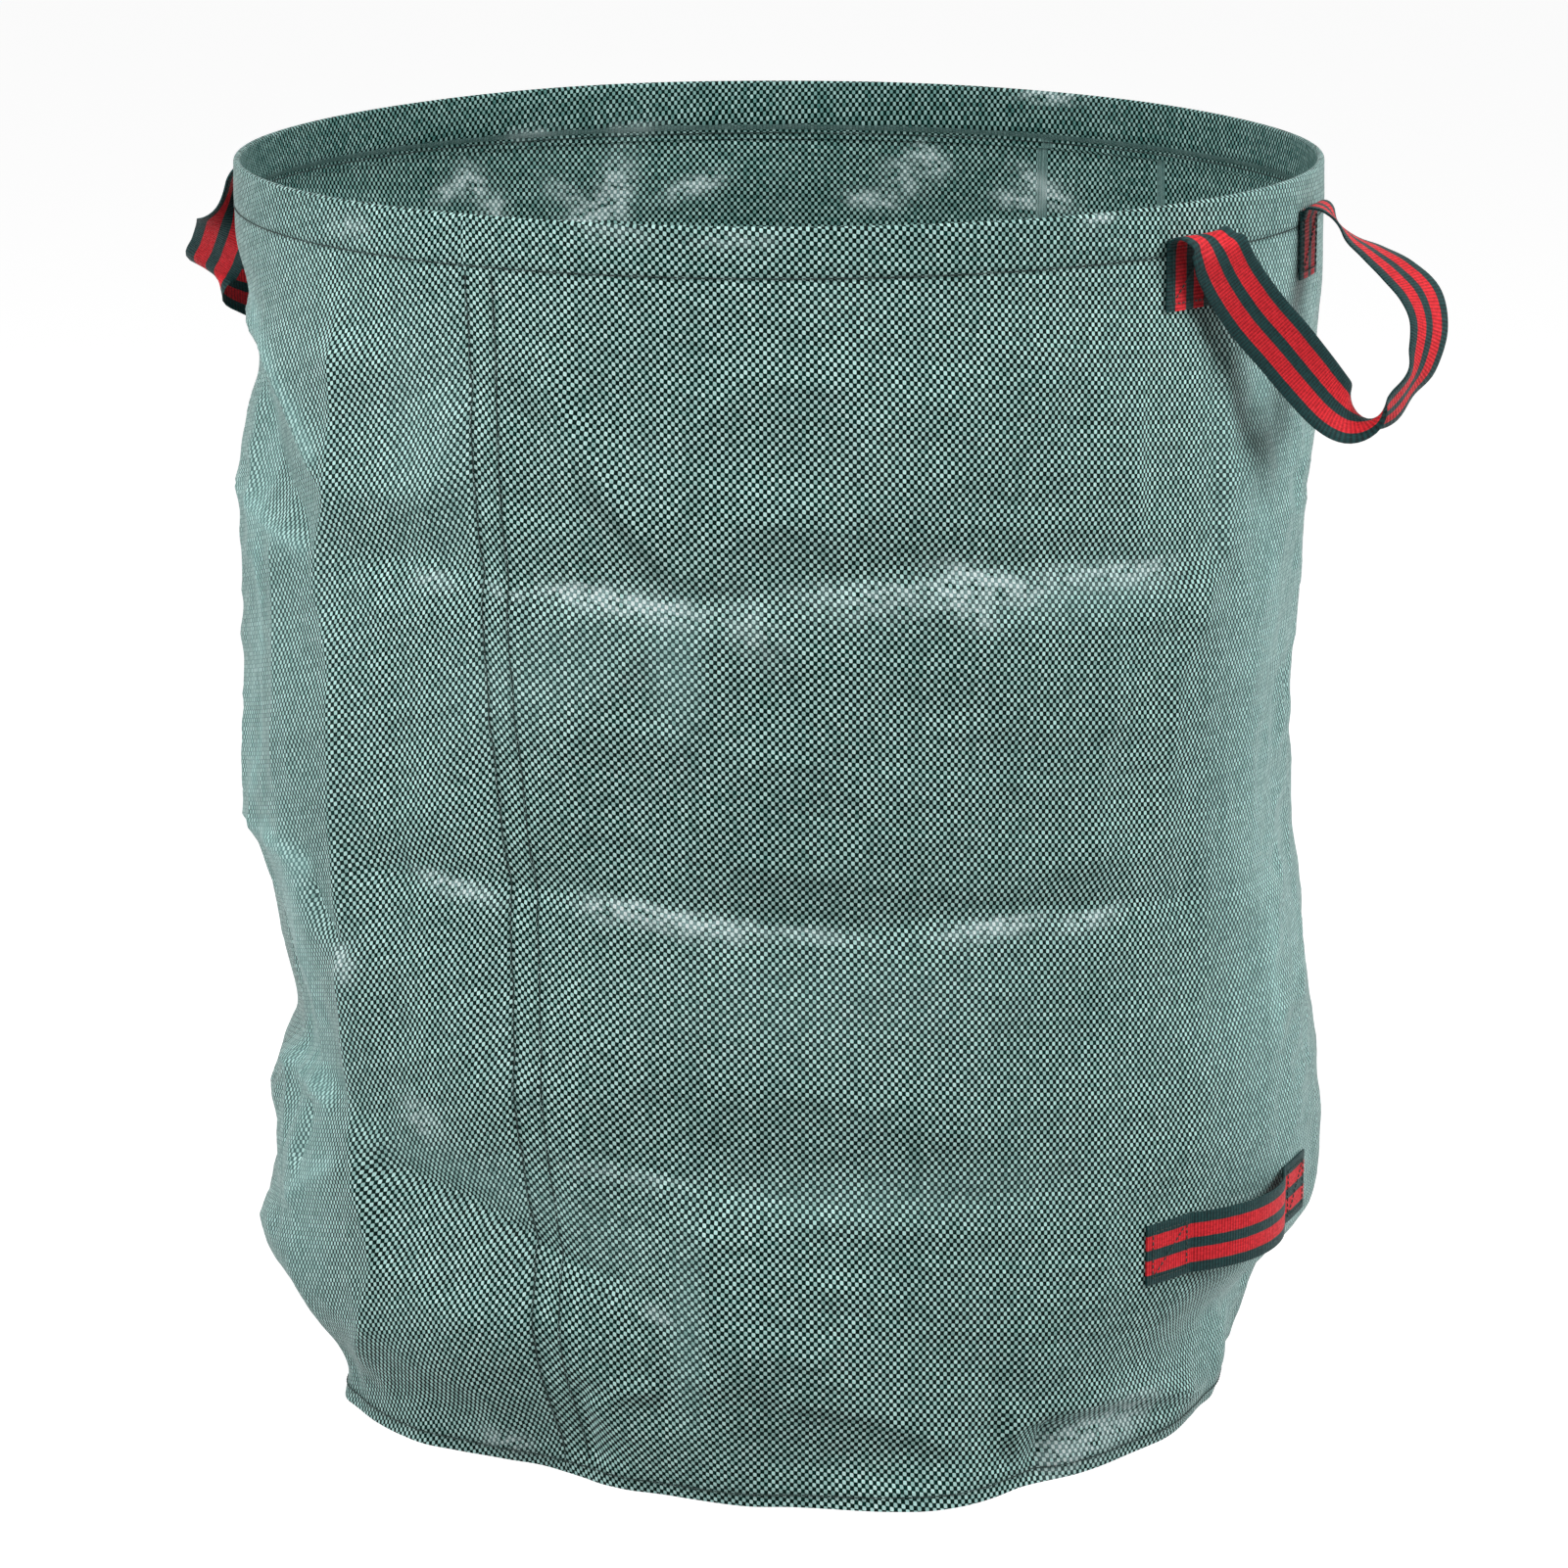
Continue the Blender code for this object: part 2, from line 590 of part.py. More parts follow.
def main():
    """Build the whole bag."""
    clear_scene()
    bag = new_collection("pop_up_leaf_bag")
    woven = new_material("woven_tape", WOVEN_GREEN, 0.42)
    lap = new_material("woven_tape_lap", SEAM_GREEN, 0.45)
    base = new_material("base_cloth", BASE_GREEN, 0.50)
    red = new_material("striped_webbing", WEBBING_RED, 0.75)
    sewing = new_material("sewing_thread", THREAD_GREEN, 0.60)
    plastic = new_material("hoop_plastic", HOOP_BLACK, 0.40)
    build_side_wall(bag, woven)
    build_seam_lap(bag, lap)
    build_seam_stitching(bag, sewing)
    build_base(bag, base)
    build_base_stitching(bag, sewing)
    build_rim_hem(bag, woven)
    build_rim_hoop(bag, plastic)
    build_hoop_joint(bag, plastic)
    build_hem_stitching(bag, sewing)
    build_rim_handle("right", RIGHT_HANDLE_AZIMUTH, ("front", "rear"), RIGHT_LOOP_SHARES, bag, red, sewing)
    build_rim_handle("left", LEFT_HANDLE_AZIMUTH, ("rear", "front"), LEFT_LOOP_SHARES, bag, red, sewing)
    build_bottom_handle(bag, red, sewing)


main()
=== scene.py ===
"""Looks of the pop up leaf bag: woven wall, hem, threads and striped webbing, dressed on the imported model."""
from __future__ import annotations

import logging
import math
from dataclasses import dataclass, field
from enum import Enum

import bpy
import numpy as np
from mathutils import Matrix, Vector
from mathutils.geometry import delaunay_2d_cdt

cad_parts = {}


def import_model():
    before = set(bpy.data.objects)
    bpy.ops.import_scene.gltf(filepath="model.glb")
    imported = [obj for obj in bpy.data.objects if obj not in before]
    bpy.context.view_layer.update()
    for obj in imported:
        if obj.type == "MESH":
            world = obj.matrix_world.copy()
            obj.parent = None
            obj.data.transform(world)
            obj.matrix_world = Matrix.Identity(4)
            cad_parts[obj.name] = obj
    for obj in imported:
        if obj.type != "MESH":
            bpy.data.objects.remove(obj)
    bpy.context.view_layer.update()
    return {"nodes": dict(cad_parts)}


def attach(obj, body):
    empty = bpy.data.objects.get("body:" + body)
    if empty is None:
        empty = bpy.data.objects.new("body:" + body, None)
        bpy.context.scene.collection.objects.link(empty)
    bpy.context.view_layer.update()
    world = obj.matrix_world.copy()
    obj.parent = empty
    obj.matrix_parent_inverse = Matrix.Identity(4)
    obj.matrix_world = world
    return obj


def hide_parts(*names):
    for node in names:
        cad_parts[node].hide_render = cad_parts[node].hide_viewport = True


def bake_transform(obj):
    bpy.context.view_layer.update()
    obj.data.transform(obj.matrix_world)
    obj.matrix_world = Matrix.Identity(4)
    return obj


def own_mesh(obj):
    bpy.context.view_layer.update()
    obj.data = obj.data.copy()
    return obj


LOG = logging.getLogger("leaf_bag")
WEAVE_MAP = "weave"
Number = "Value | float"
Socket = bpy.types.NodeSocket
Tree = bpy.types.NodeTree
Material = bpy.types.Material
Piece = bpy.types.Object
Array = np.ndarray
Point = tuple[float, float, float]
Colour = tuple[float, float, float, float]
WHITE: Colour = (1.0, 1.0, 1.0, 1.0)
MILLIMETRE = 0.001
ROUND_STEPS = 721


class Slot(Enum):
    """The record's material slots."""

    WOVEN = "woven_tape"
    LAP = "woven_tape_lap"
    BASE = "base_cloth"
    WEBBING = "striped_webbing"
    THREAD = "sewing_thread"
    HOOP = "hoop_plastic"


class Body(Enum):
    """The bodies that pieces ride on."""

    BAG = "bag"
    RIM = "rim"
    RIGHT = "right_handle"
    LEFT = "left_handle"
    BOTTOM = "bottom_handle"


class Side(Enum):
    """The two rim handles."""

    RIGHT = "right"
    LEFT = "left"


# ---------------------------------------------------------------- shader maths


def feed(tree: Tree, place: Socket, value: object) -> None:
    """Link or set one socket.

    Args:
        tree: The nodes that it is among.
        place: The socket that takes the value.
        value: A number, a colour, a Value or a socket.
    """
    source = value.socket if isinstance(value, Value) else value
    if isinstance(source, Socket):
        tree.links.new(source, place)
    else:
        place.default_value = source


@dataclass(frozen=True)
class Value:
    """A number socket that is used in Python expressions."""

    tree: Tree
    socket: Socket

    def math(self, operation: str, *others: Number, first: Number | None = None) -> Value:
        """Add one Math node.

        Args:
            operation: Blender's name of the operation.
            others: The values after the first.
            first: The first value, where it isn't this one.

        Returns:
            The node's result.
        """
        node = self.tree.nodes.new("ShaderNodeMath")
        node.operation = operation
        for place, term in zip(node.inputs, [self if first is None else first, *others]):
            feed(self.tree, place, term)
        return Value(self.tree, node.outputs[0])

    def __add__(self, other: Number) -> Value:
        """Sum."""
        return self.math("ADD", other)

    __radd__ = __add__

    def __sub__(self, other: Number) -> Value:
        """Difference."""
        return self.math("SUBTRACT", other)

    def __rsub__(self, other: Number) -> Value:
        """Difference, the other way round."""
        return self.math("SUBTRACT", self, first=other)

    def __mul__(self, other: Number) -> Value:
        """Product."""
        return self.math("MULTIPLY", other)

    __rmul__ = __mul__

    def __abs__(self) -> Value:
        """Size without its sign."""
        return self.math("ABSOLUTE")

    def __pow__(self, other: Number) -> Value:
        """Power."""
        return self.math("POWER", other)

    def floor(self) -> Value:
        """The whole number below."""
        return self.math("FLOOR")

    def sine(self) -> Value:
        """Sine of an angle in radians."""
        return self.math("SINE")

    def held(self) -> Value:
        """Held between 0 and 1."""
        return self.math("MAXIMUM", 0.0).math("MINIMUM", 1.0)

    def ramp(self, low: float, high: float) -> Value:
        """Ease from 0 at low to 1 at high.

        Args:
            low: Where the result starts to leave 0.
            high: Where it reaches 1.

        Returns:
            The eased value.
        """
        share = ((self - low) * (1.0 / (high - low))).held()
        return share * share * (3.0 - 2.0 * share)


class Recipe:
    """One material that is made of nodes."""

    def __init__(self, name: str) -> None:
        """Start an empty material.

        Args:
            name: The material's name.
        """
        self.material = bpy.data.materials.new(name)
        self.material.use_nodes = True
        self.tree = self.material.node_tree
        self.tree.nodes.clear()
        self.output = self.tree.nodes.new("ShaderNodeOutputMaterial")

    def node(self, kind: str, settings: dict[str, object] | None = None, **values: object) -> bpy.types.Node:
        """Add one node.

        Args:
            kind: Blender's name of the node, without the ShaderNode that it starts with.
            settings: The node's own settings, set first.
            values: What goes into its sockets: a number, a colour, a Value or a socket.

        Returns:
            The node.
        """
        node = self.tree.nodes.new(f"ShaderNode{kind}")
        for name, setting in (settings or {}).items():
            setattr(node, name, setting)
        for name, value in values.items():
            wanted = name.replace("_", " ").lower()
            place = next(s for s in node.inputs if s.name.lower() == wanted and s.enabled)
            feed(self.tree, place, value)
        return node

    def value(self, socket: Socket) -> Value:
        """Wrap a socket as a value."""
        return Value(self.tree, socket)

    def weave(self) -> tuple[Value, Value]:
        """The two coordinates of the piece's own weave map."""
        coordinates = self.node("UVMap", {"uv_map": WEAVE_MAP})
        parts = self.node("SeparateXYZ", Vector=coordinates.outputs[0])
        return self.value(parts.outputs[0]), self.value(parts.outputs[1])

    def attribute(self, name: str) -> Value:
        """Read a number that a piece's mesh holds."""
        return self.value(self.node("Attribute", {"attribute_name": name}).outputs["Fac"])

    def vector(self, x: Number, y: Number, z: Number = 0.0) -> Socket:
        """Join three values as a vector."""
        return self.node("CombineXYZ", X=x, Y=y, Z=z).outputs[0]

    def noise(self, where: Socket, scale: float, detail: float) -> Value:
        """Cloudy noise.

        Args:
            where: The vector to read it at.
            scale: How fine it is.
            detail: How many finer layers it has.

        Returns:
            The noise, mostly from 0.3 to 0.7.
        """
        made = self.node("TexNoise", {"noise_dimensions": "3D"}, Vector=where, Scale=scale, Detail=detail)
        return self.value(made.outputs[0])

    def dice(self, where: Socket) -> Value:
        """A random value for each whole-numbered place."""
        return self.value(self.node("TexWhiteNoise", {"noise_dimensions": "2D"}, Vector=where).outputs[0])

    def solid(self) -> Socket:
        """The piece's own Object coordinates."""
        return self.node("TexCoord").outputs["Object"]

    def mix(self, share: Number, low: object, high: object) -> Socket:
        """Mix two colours.

        Args:
            share: 0 for low, 1 for high.
            low: A colour or a socket.
            high: A colour or a socket.

        Returns:
            The mixed colour's socket.
        """
        node = self.tree.nodes.new("ShaderNodeMix")
        node.data_type = "RGBA"
        for number, value in ((0, share), (6, low), (7, high)):
            feed(self.tree, node.inputs[number], value)
        return node.outputs[2]

    def bump(self, height: Value, distance: float, strength: float) -> Socket:
        """Raise the surface.

        Args:
            height: From 0 to 1.
            distance: What 1 stands for, in metres.
            strength: The share of it that is felt.

        Returns:
            The normal's socket.
        """
        return self.node("Bump", Height=height, Distance=distance, Strength=strength).outputs[0]

    def surface(self, **values: object) -> Material:
        """Close the material with one Principled shader.

        Args:
            values: What goes into the shader's sockets.

        Returns:
            The material.
        """
        shader = self.node("BsdfPrincipled", **values)
        self.tree.links.new(shader.outputs[0], self.output.inputs[0])
        return self.material


def seen_rays(tree: Tree) -> Value:
    """Tell the rays that are seen from those that only carry light.

    Args:
        tree: The nodes to add to.

    Returns:
        1 for rays of the camera, of reflections and through glass, and 0 for others.
    """
    path = tree.nodes.new("ShaderNodeLightPath")
    camera, glossy, through = (
        Value(tree, path.outputs[f"Is {kind} Ray"]) for kind in ("Camera", "Glossy", "Transmission")
    )
    return (camera + glossy + through).held()


# ---------------------------------------------------------------- finishes


@dataclass(frozen=True)
class WovenTape:
    """Flat plastic tape in a plain weave, pale and dark, with whitened marks where it was folded, painted highlights
    on the crumples, painted sheen on the dark tape and painted shade in grooves, creases and inside the bag.
    """

    name: str = "woven_tape_cloth"
    pale: Colour = (0.630, 0.930, 0.890, 1.0)
    dull: Colour = (0.105, 0.280, 0.255, 1.0)
    # Painted sheen on the dark tape
    painted_sheen_colour: Colour = (0.230, 0.415, 0.405, 1.0)
    dark: Colour = (0.0002, 0.0065, 0.0045, 1.0)
    deep: Colour = (0.0006, 0.021, 0.016, 1.0)
    # Whitened tape, also the painted highlight on the crumples below the folds
    whitened_and_highlight: Colour = (0.780, 0.900, 0.890, 1.0)
    dark_whitened_and_highlight: Colour = (0.260, 0.400, 0.395, 1.0)
    sheen: Colour = (0.86, 0.97, 1.0, 1.0)
    roughness: float = 0.36
    softness: float = 5.4
    pale_lead: float = 0.10
    mean_shade: float = 0.38
    cell_spread: float = 0.46
    tape_spread: float = 0.14
    cloud_spread: float = 0.35
    inside_shade_loss: float = 0.34
    bright_shade: float = 0.96
    # How dark the painted shade is in the puckered grooves and along the creases
    groove_shade_depth: float = 0.6
    tape_rise: float = 0.00008

    def make(self) -> Material:
        """Build the material, which reads the weave map, the whitening with painted highlight, the painted sheen, the
        painted groove shade and the inner value, which is painted shade inside the bag.
        """
        recipe = Recipe(self.name)
        across, up = recipe.weave()
        wave = (across * math.tau).sine() * (up * math.tau).sine()
        pale = (wave * self.softness + self.pale_lead).held()
        column = (across * 2.0).floor()
        row = (up * 2.0).floor()
        cell = recipe.dice(recipe.vector(column, row))
        warp = recipe.dice(recipe.vector(column, 7.0))
        weft = recipe.dice(recipe.vector(11.0, row))
        cloud = recipe.noise(recipe.solid(), 11.0, 3.0)
        shade = self.mean_shade + cell * self.cell_spread + warp * self.tape_spread + weft * self.tape_spread
        # Painted shade: the tape darkens on the faces inside the bag, where the inner value is 1
        shade = shade + (cloud - 0.5) * self.cloud_spread - recipe.attribute("inner") * self.inside_shade_loss
        pale_tape = recipe.mix(shade.held(), self.dull, self.pale)
        pale_tape = recipe.mix((shade - self.bright_shade).held() * 1.4, pale_tape, self.whitened_and_highlight)
        dark_tape = recipe.mix((weft * 0.7 + cell * 0.3) ** 2.0, self.dark, self.deep)
        # Painted sheen: the dark tape is lightened on the flanks and on facets that face the lamps, with a little at
        # random
        sheen_drift = recipe.noise(recipe.solid(), 15.0, 2.0).ramp(0.50, 0.72)
        painted_sheen = (recipe.attribute("painted_sheen") * (0.45 + cloud * 0.5) + sheen_drift * 0.015).held()
        dark_tape = recipe.mix(painted_sheen, dark_tape, self.painted_sheen_colour)
        streak = recipe.noise(recipe.vector(across * 0.45, up * 1.3), 1.0, 4.0)
        # Whitened tape where it was folded, together with a painted highlight on the crumples below the folds
        crush_and_highlight = (recipe.attribute("crush_and_highlight") * 1.5 * streak.ramp(0.34, 0.62)).held()
        pale_tape = recipe.mix(crush_and_highlight, pale_tape, self.whitened_and_highlight)
        dark_tape = recipe.mix(crush_and_highlight * 0.85, dark_tape, self.dark_whitened_and_highlight)
        tape = recipe.mix(pale, dark_tape, pale_tape)
        # Painted shade: the tape darkens in the puckered grooves along the rows of thread and along two creases
        tape = recipe.mix(recipe.attribute("painted_groove_shade") * self.groove_shade_depth, tape, self.dark)
        normal = recipe.bump(abs(wave) ** 0.6, self.tape_rise, 0.8)
        return recipe.surface(
            Base_Color=tape,
            Roughness=self.roughness + 0.08 * (1.0 - pale) - 0.10 * crush_and_highlight,
            Normal=normal,
            IOR=1.10,
            Sheen_Weight=0.02,
            Sheen_Roughness=0.25,
            Sheen_Tint=self.sheen,
        )


@dataclass(frozen=True)
class StripedWebbing:
    """Ribbed webbing, red with dark green stripes, whose edges stand in millimetres from its middle."""

    name: str = "striped_ribbed_webbing"
    red: Colour = (0.960, 0.030, 0.044, 1.0)
    deep_red: Colour = (0.430, 0.010, 0.018, 1.0)
    green: Colour = (0.009, 0.058, 0.058, 1.0)
    deep_green: Colour = (0.002, 0.013, 0.014, 1.0)
    stripe_edges: tuple[float, float] = (3.3, 12.2)
    edge_blur: float = 0.25
    rib: float = 0.0021
    yarn: float = 0.0011
    rise: float = 0.00040

    def make(self) -> Material:
        """Build the material, which reads metres along and across the strap."""
        recipe = Recipe(self.name)
        along, across = recipe.weave()
        wobble = recipe.noise(recipe.vector(along * 160.0, across * 20.0), 1.0, 1.0) - 0.5
        offset = abs(across) * 1000.0 + wobble * 0.5
        inner, outer = self.stripe_edges
        red = offset.ramp(inner - self.edge_blur, inner + self.edge_blur)
        red = red * (1.0 - offset.ramp(outer - self.edge_blur, outer + self.edge_blur))
        ribs = (along * (math.tau / self.rib)).sine() * 0.5 + 0.5
        yarns = (across * (math.tau / self.yarn)).sine() * 0.5 + 0.5
        fleck = recipe.dice(recipe.vector((along * (1.0 / self.rib)).floor(), (across * (1.0 / self.yarn)).floor()))
        light = (ribs * 0.70 + yarns * 0.12 + fleck * 0.42 - 0.10).held()
        reds = recipe.mix(light, self.deep_red, self.red)
        greens = recipe.mix(light, self.deep_green, self.green)
        normal = recipe.bump(ribs * 0.8 + yarns * 0.2, self.rise, 0.9)
        return recipe.surface(
            Base_Color=recipe.mix(red, greens, reds),
            Roughness=0.62 - 0.12 * fleck,
            Normal=normal,
            Specular_IOR_Level=0.18,
            Sheen_Weight=0.02,
        )


@dataclass(frozen=True)
class TwistedThread:
    """Dark sewing thread with a slanting twist."""

    name: str = "twisted_sewing_thread"
    light: Colour = (0.014, 0.050, 0.044, 1.0)
    deep: Colour = (0.002, 0.010, 0.009, 1.0)
    twists: float = 1400.0
    rise: float = 0.0001

    def make(self) -> Material:
        """Build the material, which reads the thread's length and turn."""
        recipe = Recipe(self.name)
        along, around = recipe.weave()
        twist = ((along * self.twists + around) * math.tau).sine() * 0.5 + 0.5
        normal = recipe.bump(twist, self.rise, 0.8)
        return recipe.surface(
            Base_Color=recipe.mix(twist, self.deep, self.light), Roughness=0.5 + 0.1 * twist, Normal=normal
        )


@dataclass(frozen=True)
class HoopStrip:
    """The black plastic strip inside the hem."""

    name: str = "hoop_strip"
    dark: Colour = (0.010, 0.011, 0.011, 1.0)
    grey: Colour = (0.034, 0.036, 0.037, 1.0)
    rise: float = 0.00005

    def make(self) -> Material:
        """Build the material."""
        recipe = Recipe(self.name)
        grain = recipe.noise(recipe.solid(), 420.0, 3.0)
        colour = recipe.mix(grain, self.dark, self.grey)
        return recipe.surface(
            Base_Color=colour, Roughness=0.36 + 0.12 * grain, Normal=recipe.bump(grain, self.rise, 0.5)
        )


@dataclass(frozen=True)
class PaleFloor:
    """A plain white floor that keeps the bag's shadow."""

    name: str = "pale_floor"
    matt: Colour = (0.42, 0.42, 0.42, 1.0)
    glow: float = 0.90

    def make(self) -> Material:
        """Build the material: matt white, with a glow that only the camera and reflections see."""
        recipe = Recipe(self.name)
        seen = seen_rays(recipe.tree)
        matt = recipe.node("BsdfDiffuse", Color=self.matt)
        glow = recipe.node("Emission", Color=WHITE, Strength=seen * self.glow)
        both = recipe.node("AddShader")
        recipe.tree.links.new(matt.outputs[0], both.inputs[0])
        recipe.tree.links.new(glow.outputs[0], both.inputs[1])
        recipe.tree.links.new(both.outputs[0], recipe.output.inputs[0])
        return recipe.material


@dataclass(frozen=True)
class Finishes:
    """Every finish of the bag, each made once."""

    woven: Material
    base: Material
    webbing: Material
    thread: Material
    hoop: Material

    @classmethod
    def build(cls) -> Finishes:
        """Make the materials."""
        return cls(
            woven=WovenTape().make(),
            # The base's tape is a darker copy of the woven tape: painted shade on the floor inside the bag
            base=WovenTape(name="woven_tape_base_painted_shade", pale=(0.260, 0.410, 0.375, 1.0)).make(),
            webbing=StripedWebbing().make(),
            thread=TwistedThread().make(),
            hoop=HoopStrip().make(),
        )


# ---------------------------------------------------------------- shapes


def eased(share: Array) -> Array:
    """Ease from 0 to 1."""
    held = np.clip(share, 0.0, 1.0)
    return held * held * (3.0 - 2.0 * held)


def unit(vectors: Array) -> Array:
    """The same directions, each of length 1."""
    return vectors / np.linalg.norm(vectors, axis=-1, keepdims=True)


def wrapped(azimuth: Array) -> Array:
    """The same azimuths, from -180 to 180 degrees."""
    return (azimuth + 180.0) % 360.0 - 180.0


def per_degree(radius: float) -> float:
    """Metres round the bag for one degree."""
    return math.radians(1.0) * radius


def outward(azimuth: Array) -> Array:
    """Level unit vectors that point out from the axis, at azimuths in degrees from the front."""
    turn = np.radians(azimuth)
    return np.stack([np.sin(turn), -np.cos(turn), np.zeros_like(turn)], axis=-1)


def ring_at(azimuth: Array, radius: float | Array, level: float | Array) -> Array:
    """Points round the axis.

    Args:
        azimuth: Degrees from the front.
        radius: Their distance from the axis.
        level: Their heights.

    Returns:
        Points, in the last axis.
    """
    spots = outward(azimuth) * np.asarray(radius)[..., None]
    spots[..., 2] = level
    return spots


@dataclass(frozen=True)
class SoftNoise:
    """Smooth noise over azimuth and height, which closes round the bag."""

    seed: int
    around: int
    height: float
    rows: int = 400
    first_row: float = 20.0

    def __call__(self, azimuth: Array, level: Array) -> Array:
        """Read the noise.

        Args:
            azimuth: Degrees from the front.
            level: Heights in metres.

        Returns:
            Values from about -1 to 1.
        """
        grid = np.random.default_rng(self.seed).uniform(-1.0, 1.0, (self.around, self.rows))
        x = (azimuth % 360.0) / 360.0 * self.around
        y = level / self.height + self.first_row
        column, row = np.floor(x).astype(int), np.floor(y).astype(int)
        u, v = eased(x - column), eased(y - row)
        left, right = column % self.around, (column + 1) % self.around
        low = grid[left, row] * (1.0 - u) + grid[right, row] * u
        high = grid[left, row + 1] * (1.0 - u) + grid[right, row + 1] * u
        return low * (1.0 - v) + high * v

    def ridges(self, azimuth: Array, level: Array) -> Array:
        """The noise folded over, so that flat faces meet in ridges."""
        return 0.35 - np.abs(self(azimuth, level))


@dataclass(frozen=True)
class Fold:
    """A crease along a line of azimuths and heights: a ridge or a valley that fades on each side.

    Its heights, reaches, fade and rounding are in millimetres. Its rise is in metres, or a share where it is painted
    sheen or painted crease shade.
    """

    line: tuple[tuple[float, float], ...]
    rise: float
    first: float
    second: float
    fade: float = 30.0
    rounding: float = 1.6

    def __call__(self, azimuth: Array, level: Array, radius: float) -> Array:
        """How far the cloth stands out for this crease.

        Args:
            azimuth: Degrees from the front.
            level: Heights in metres.
            radius: The bag's radius, which turns degrees into metres.

        Returns:
            The rise.
        """
        step = per_degree(radius)
        px, py = azimuth * step, level
        best = np.full(np.shape(px), np.inf)
        side = np.ones(np.shape(px))
        along = np.zeros(np.shape(px))
        corners = [(a * step, z * MILLIMETRE) for a, z in self.line]
        start = 0.0
        for (ax, ay), (bx, by) in zip(corners, corners[1:]):
            length = math.dist((ax, ay), (bx, by))
            dx, dy = (bx - ax) / length, (by - ay) / length
            run = np.clip((px - ax) * dx + (py - ay) * dy, 0.0, length)
            off_x, off_y = px - ax - run * dx, py - ay - run * dy
            away = np.hypot(off_x, off_y)
            nearer = away < best
            best = np.where(nearer, away, best)
            side = np.where(nearer, np.sign(dx * off_y - dy * off_x), side)
            along = np.where(nearer, start + run, along)
            start += length
        reach = np.where(side > 0, self.first, self.second) * MILLIMETRE
        fade, rounding = self.fade * MILLIMETRE, self.rounding * MILLIMETRE
        ends = eased(along / fade) * eased((start - along) / fade)
        rounded = np.sqrt(best * best + rounding ** 2) - rounding
        return self.rise * np.exp(-rounded / reach) * ends


@dataclass(frozen=True)
class Facets:
    """The flat faces between the creases: lines of azimuths, heights and rises, with flat faces between them."""

    lines: tuple[tuple[Point, ...], ...]
    soften: float = 0.0024
    top: float = 0.76

    def network(self, radius: float) -> Array:
        """Join the lines' points by triangles, without crossing a line.

        Args:
            radius: The bag's radius, which turns degrees into metres.

        Returns:
            Three corners for each triangle, as place around, height and rise.
        """
        step = per_degree(radius)
        corners, edges, known = [], [], {}
        for line in self.lines:
            before = None
            for azimuth, level, rise in line:
                key = (azimuth, level)
                if key not in known:
                    known[key] = len(corners)
                    corners.append((azimuth * step, level * MILLIMETRE, rise * MILLIMETRE))
                if before is not None:
                    edges.append((before, known[key]))
                before = known[key]
        flat = [Vector(corner[:2]) for corner in corners]
        places, _, faces, came_from, _, _ = delaunay_2d_cdt(flat, edges, [], 0, 1e-6, True)
        rises = [corners[start[0]][2] if start else 0.0 for start in came_from]
        found = np.array([(place.x, place.y, rise) for place, rise in zip(places, rises)])
        return found[np.array([list(face) for face in faces])]

    def flat(self, x: Array, y: Array, faces: Array) -> Array:
        """The rise of the flat faces, with sharp edges.

        Args:
            x: Places around the bag, in metres.
            y: Heights.
            faces: What network gives.

        Returns:
            The rise in metres.
        """
        rise = np.zeros(x.shape)
        for (ax, ay, az), (bx, by, bz), (cx, cy, cz) in faces:
            whole = (by - cy) * (ax - cx) + (cx - bx) * (ay - cy)
            if abs(whole) < 1e-12:
                continue
            near = (x >= min(ax, bx, cx)) & (x <= max(ax, bx, cx)) & (y >= min(ay, by, cy)) & (y <= max(ay, by, cy))
            px, py = x[near], y[near]
            first = ((by - cy) * (px - cx) + (cx - bx) * (py - cy)) / whole
            second = ((cy - ay) * (px - cx) + (ax - cx) * (py - cy)) / whole
            inside = (first >= -1e-9) & (second >= -1e-9) & (first + second <= 1 + 1e-9)
            value = first * az + second * bz + (1 - first - second) * cz
            rise[near] = np.where(inside, value, rise[near])
        return rise

    def __call__(self, azimuth: Array, level: Array, radius: float) -> Array:
        """The rise of the faces, a little softened along their edges.

        Args:
            azimuth: Degrees from the front, from -180 to 180.
            level: Heights in metres.
            radius: The bag's radius.

        Returns:
            The rise in metres.
        """
        azimuth, level = np.broadcast_arrays(azimuth, level)
        x, y = azimuth * per_degree(radius), np.clip(level, 0.0, self.top)
        faces, edge = self.network(radius), math.pi * radius
        layers = [
            self.flat(np.clip(x + dx * self.soften, -edge, edge), np.clip(y + dy * self.soften, 0.0, self.top), faces)
            for dx, dy in ((0.0, 0.0), (1.0, 0.0), (-1.0, 0.0), (0.0, 1.0), (0.0, -1.0))
        ]
        return sum(layers) / len(layers)


@dataclass(frozen=True)
class Mark:
    """A patch of painted colour: where folding has whitened the tape, with a highlight painted on its crumples, or
    where sheen is painted on the dark tape.

    Its level and half height are in millimetres.
    """

    azimuth: float
    level: float
    half_turn: float
    half_height: float
    strength: float
    tilt: float = 0.0
    crest: float = 1.0

    def __call__(self, azimuth: Array, level: Array, radius: float) -> Array:
        """The mark's strength at places on the wall.

        Args:
            azimuth: Degrees from the front.
            level: Heights in metres.
            radius: The bag's radius.

        Returns:
            Values from 0 to the mark's strength.
        """
        step = per_degree(radius)
        x, y = wrapped(azimuth - self.azimuth) * step, level - self.level * MILLIMETRE
        lean = math.radians(self.tilt)
        run = x * math.cos(lean) + y * math.sin(lean)
        rise = y * math.cos(lean) - x * math.sin(lean)
        reach = np.where(rise > 0.0, self.crest, 1.0) * self.half_height * MILLIMETRE
        return self.strength * np.exp(-((np.abs(run) / (self.half_turn * step)) ** 3) - (rise / reach) ** 2)


def upright(azimuth: float, *places: tuple[float, float]) -> tuple[Point, ...]:
    """A line of the flat faces' corners at one azimuth, from their heights and rises."""
    return tuple((azimuth, level, rise) for level, rise in places)


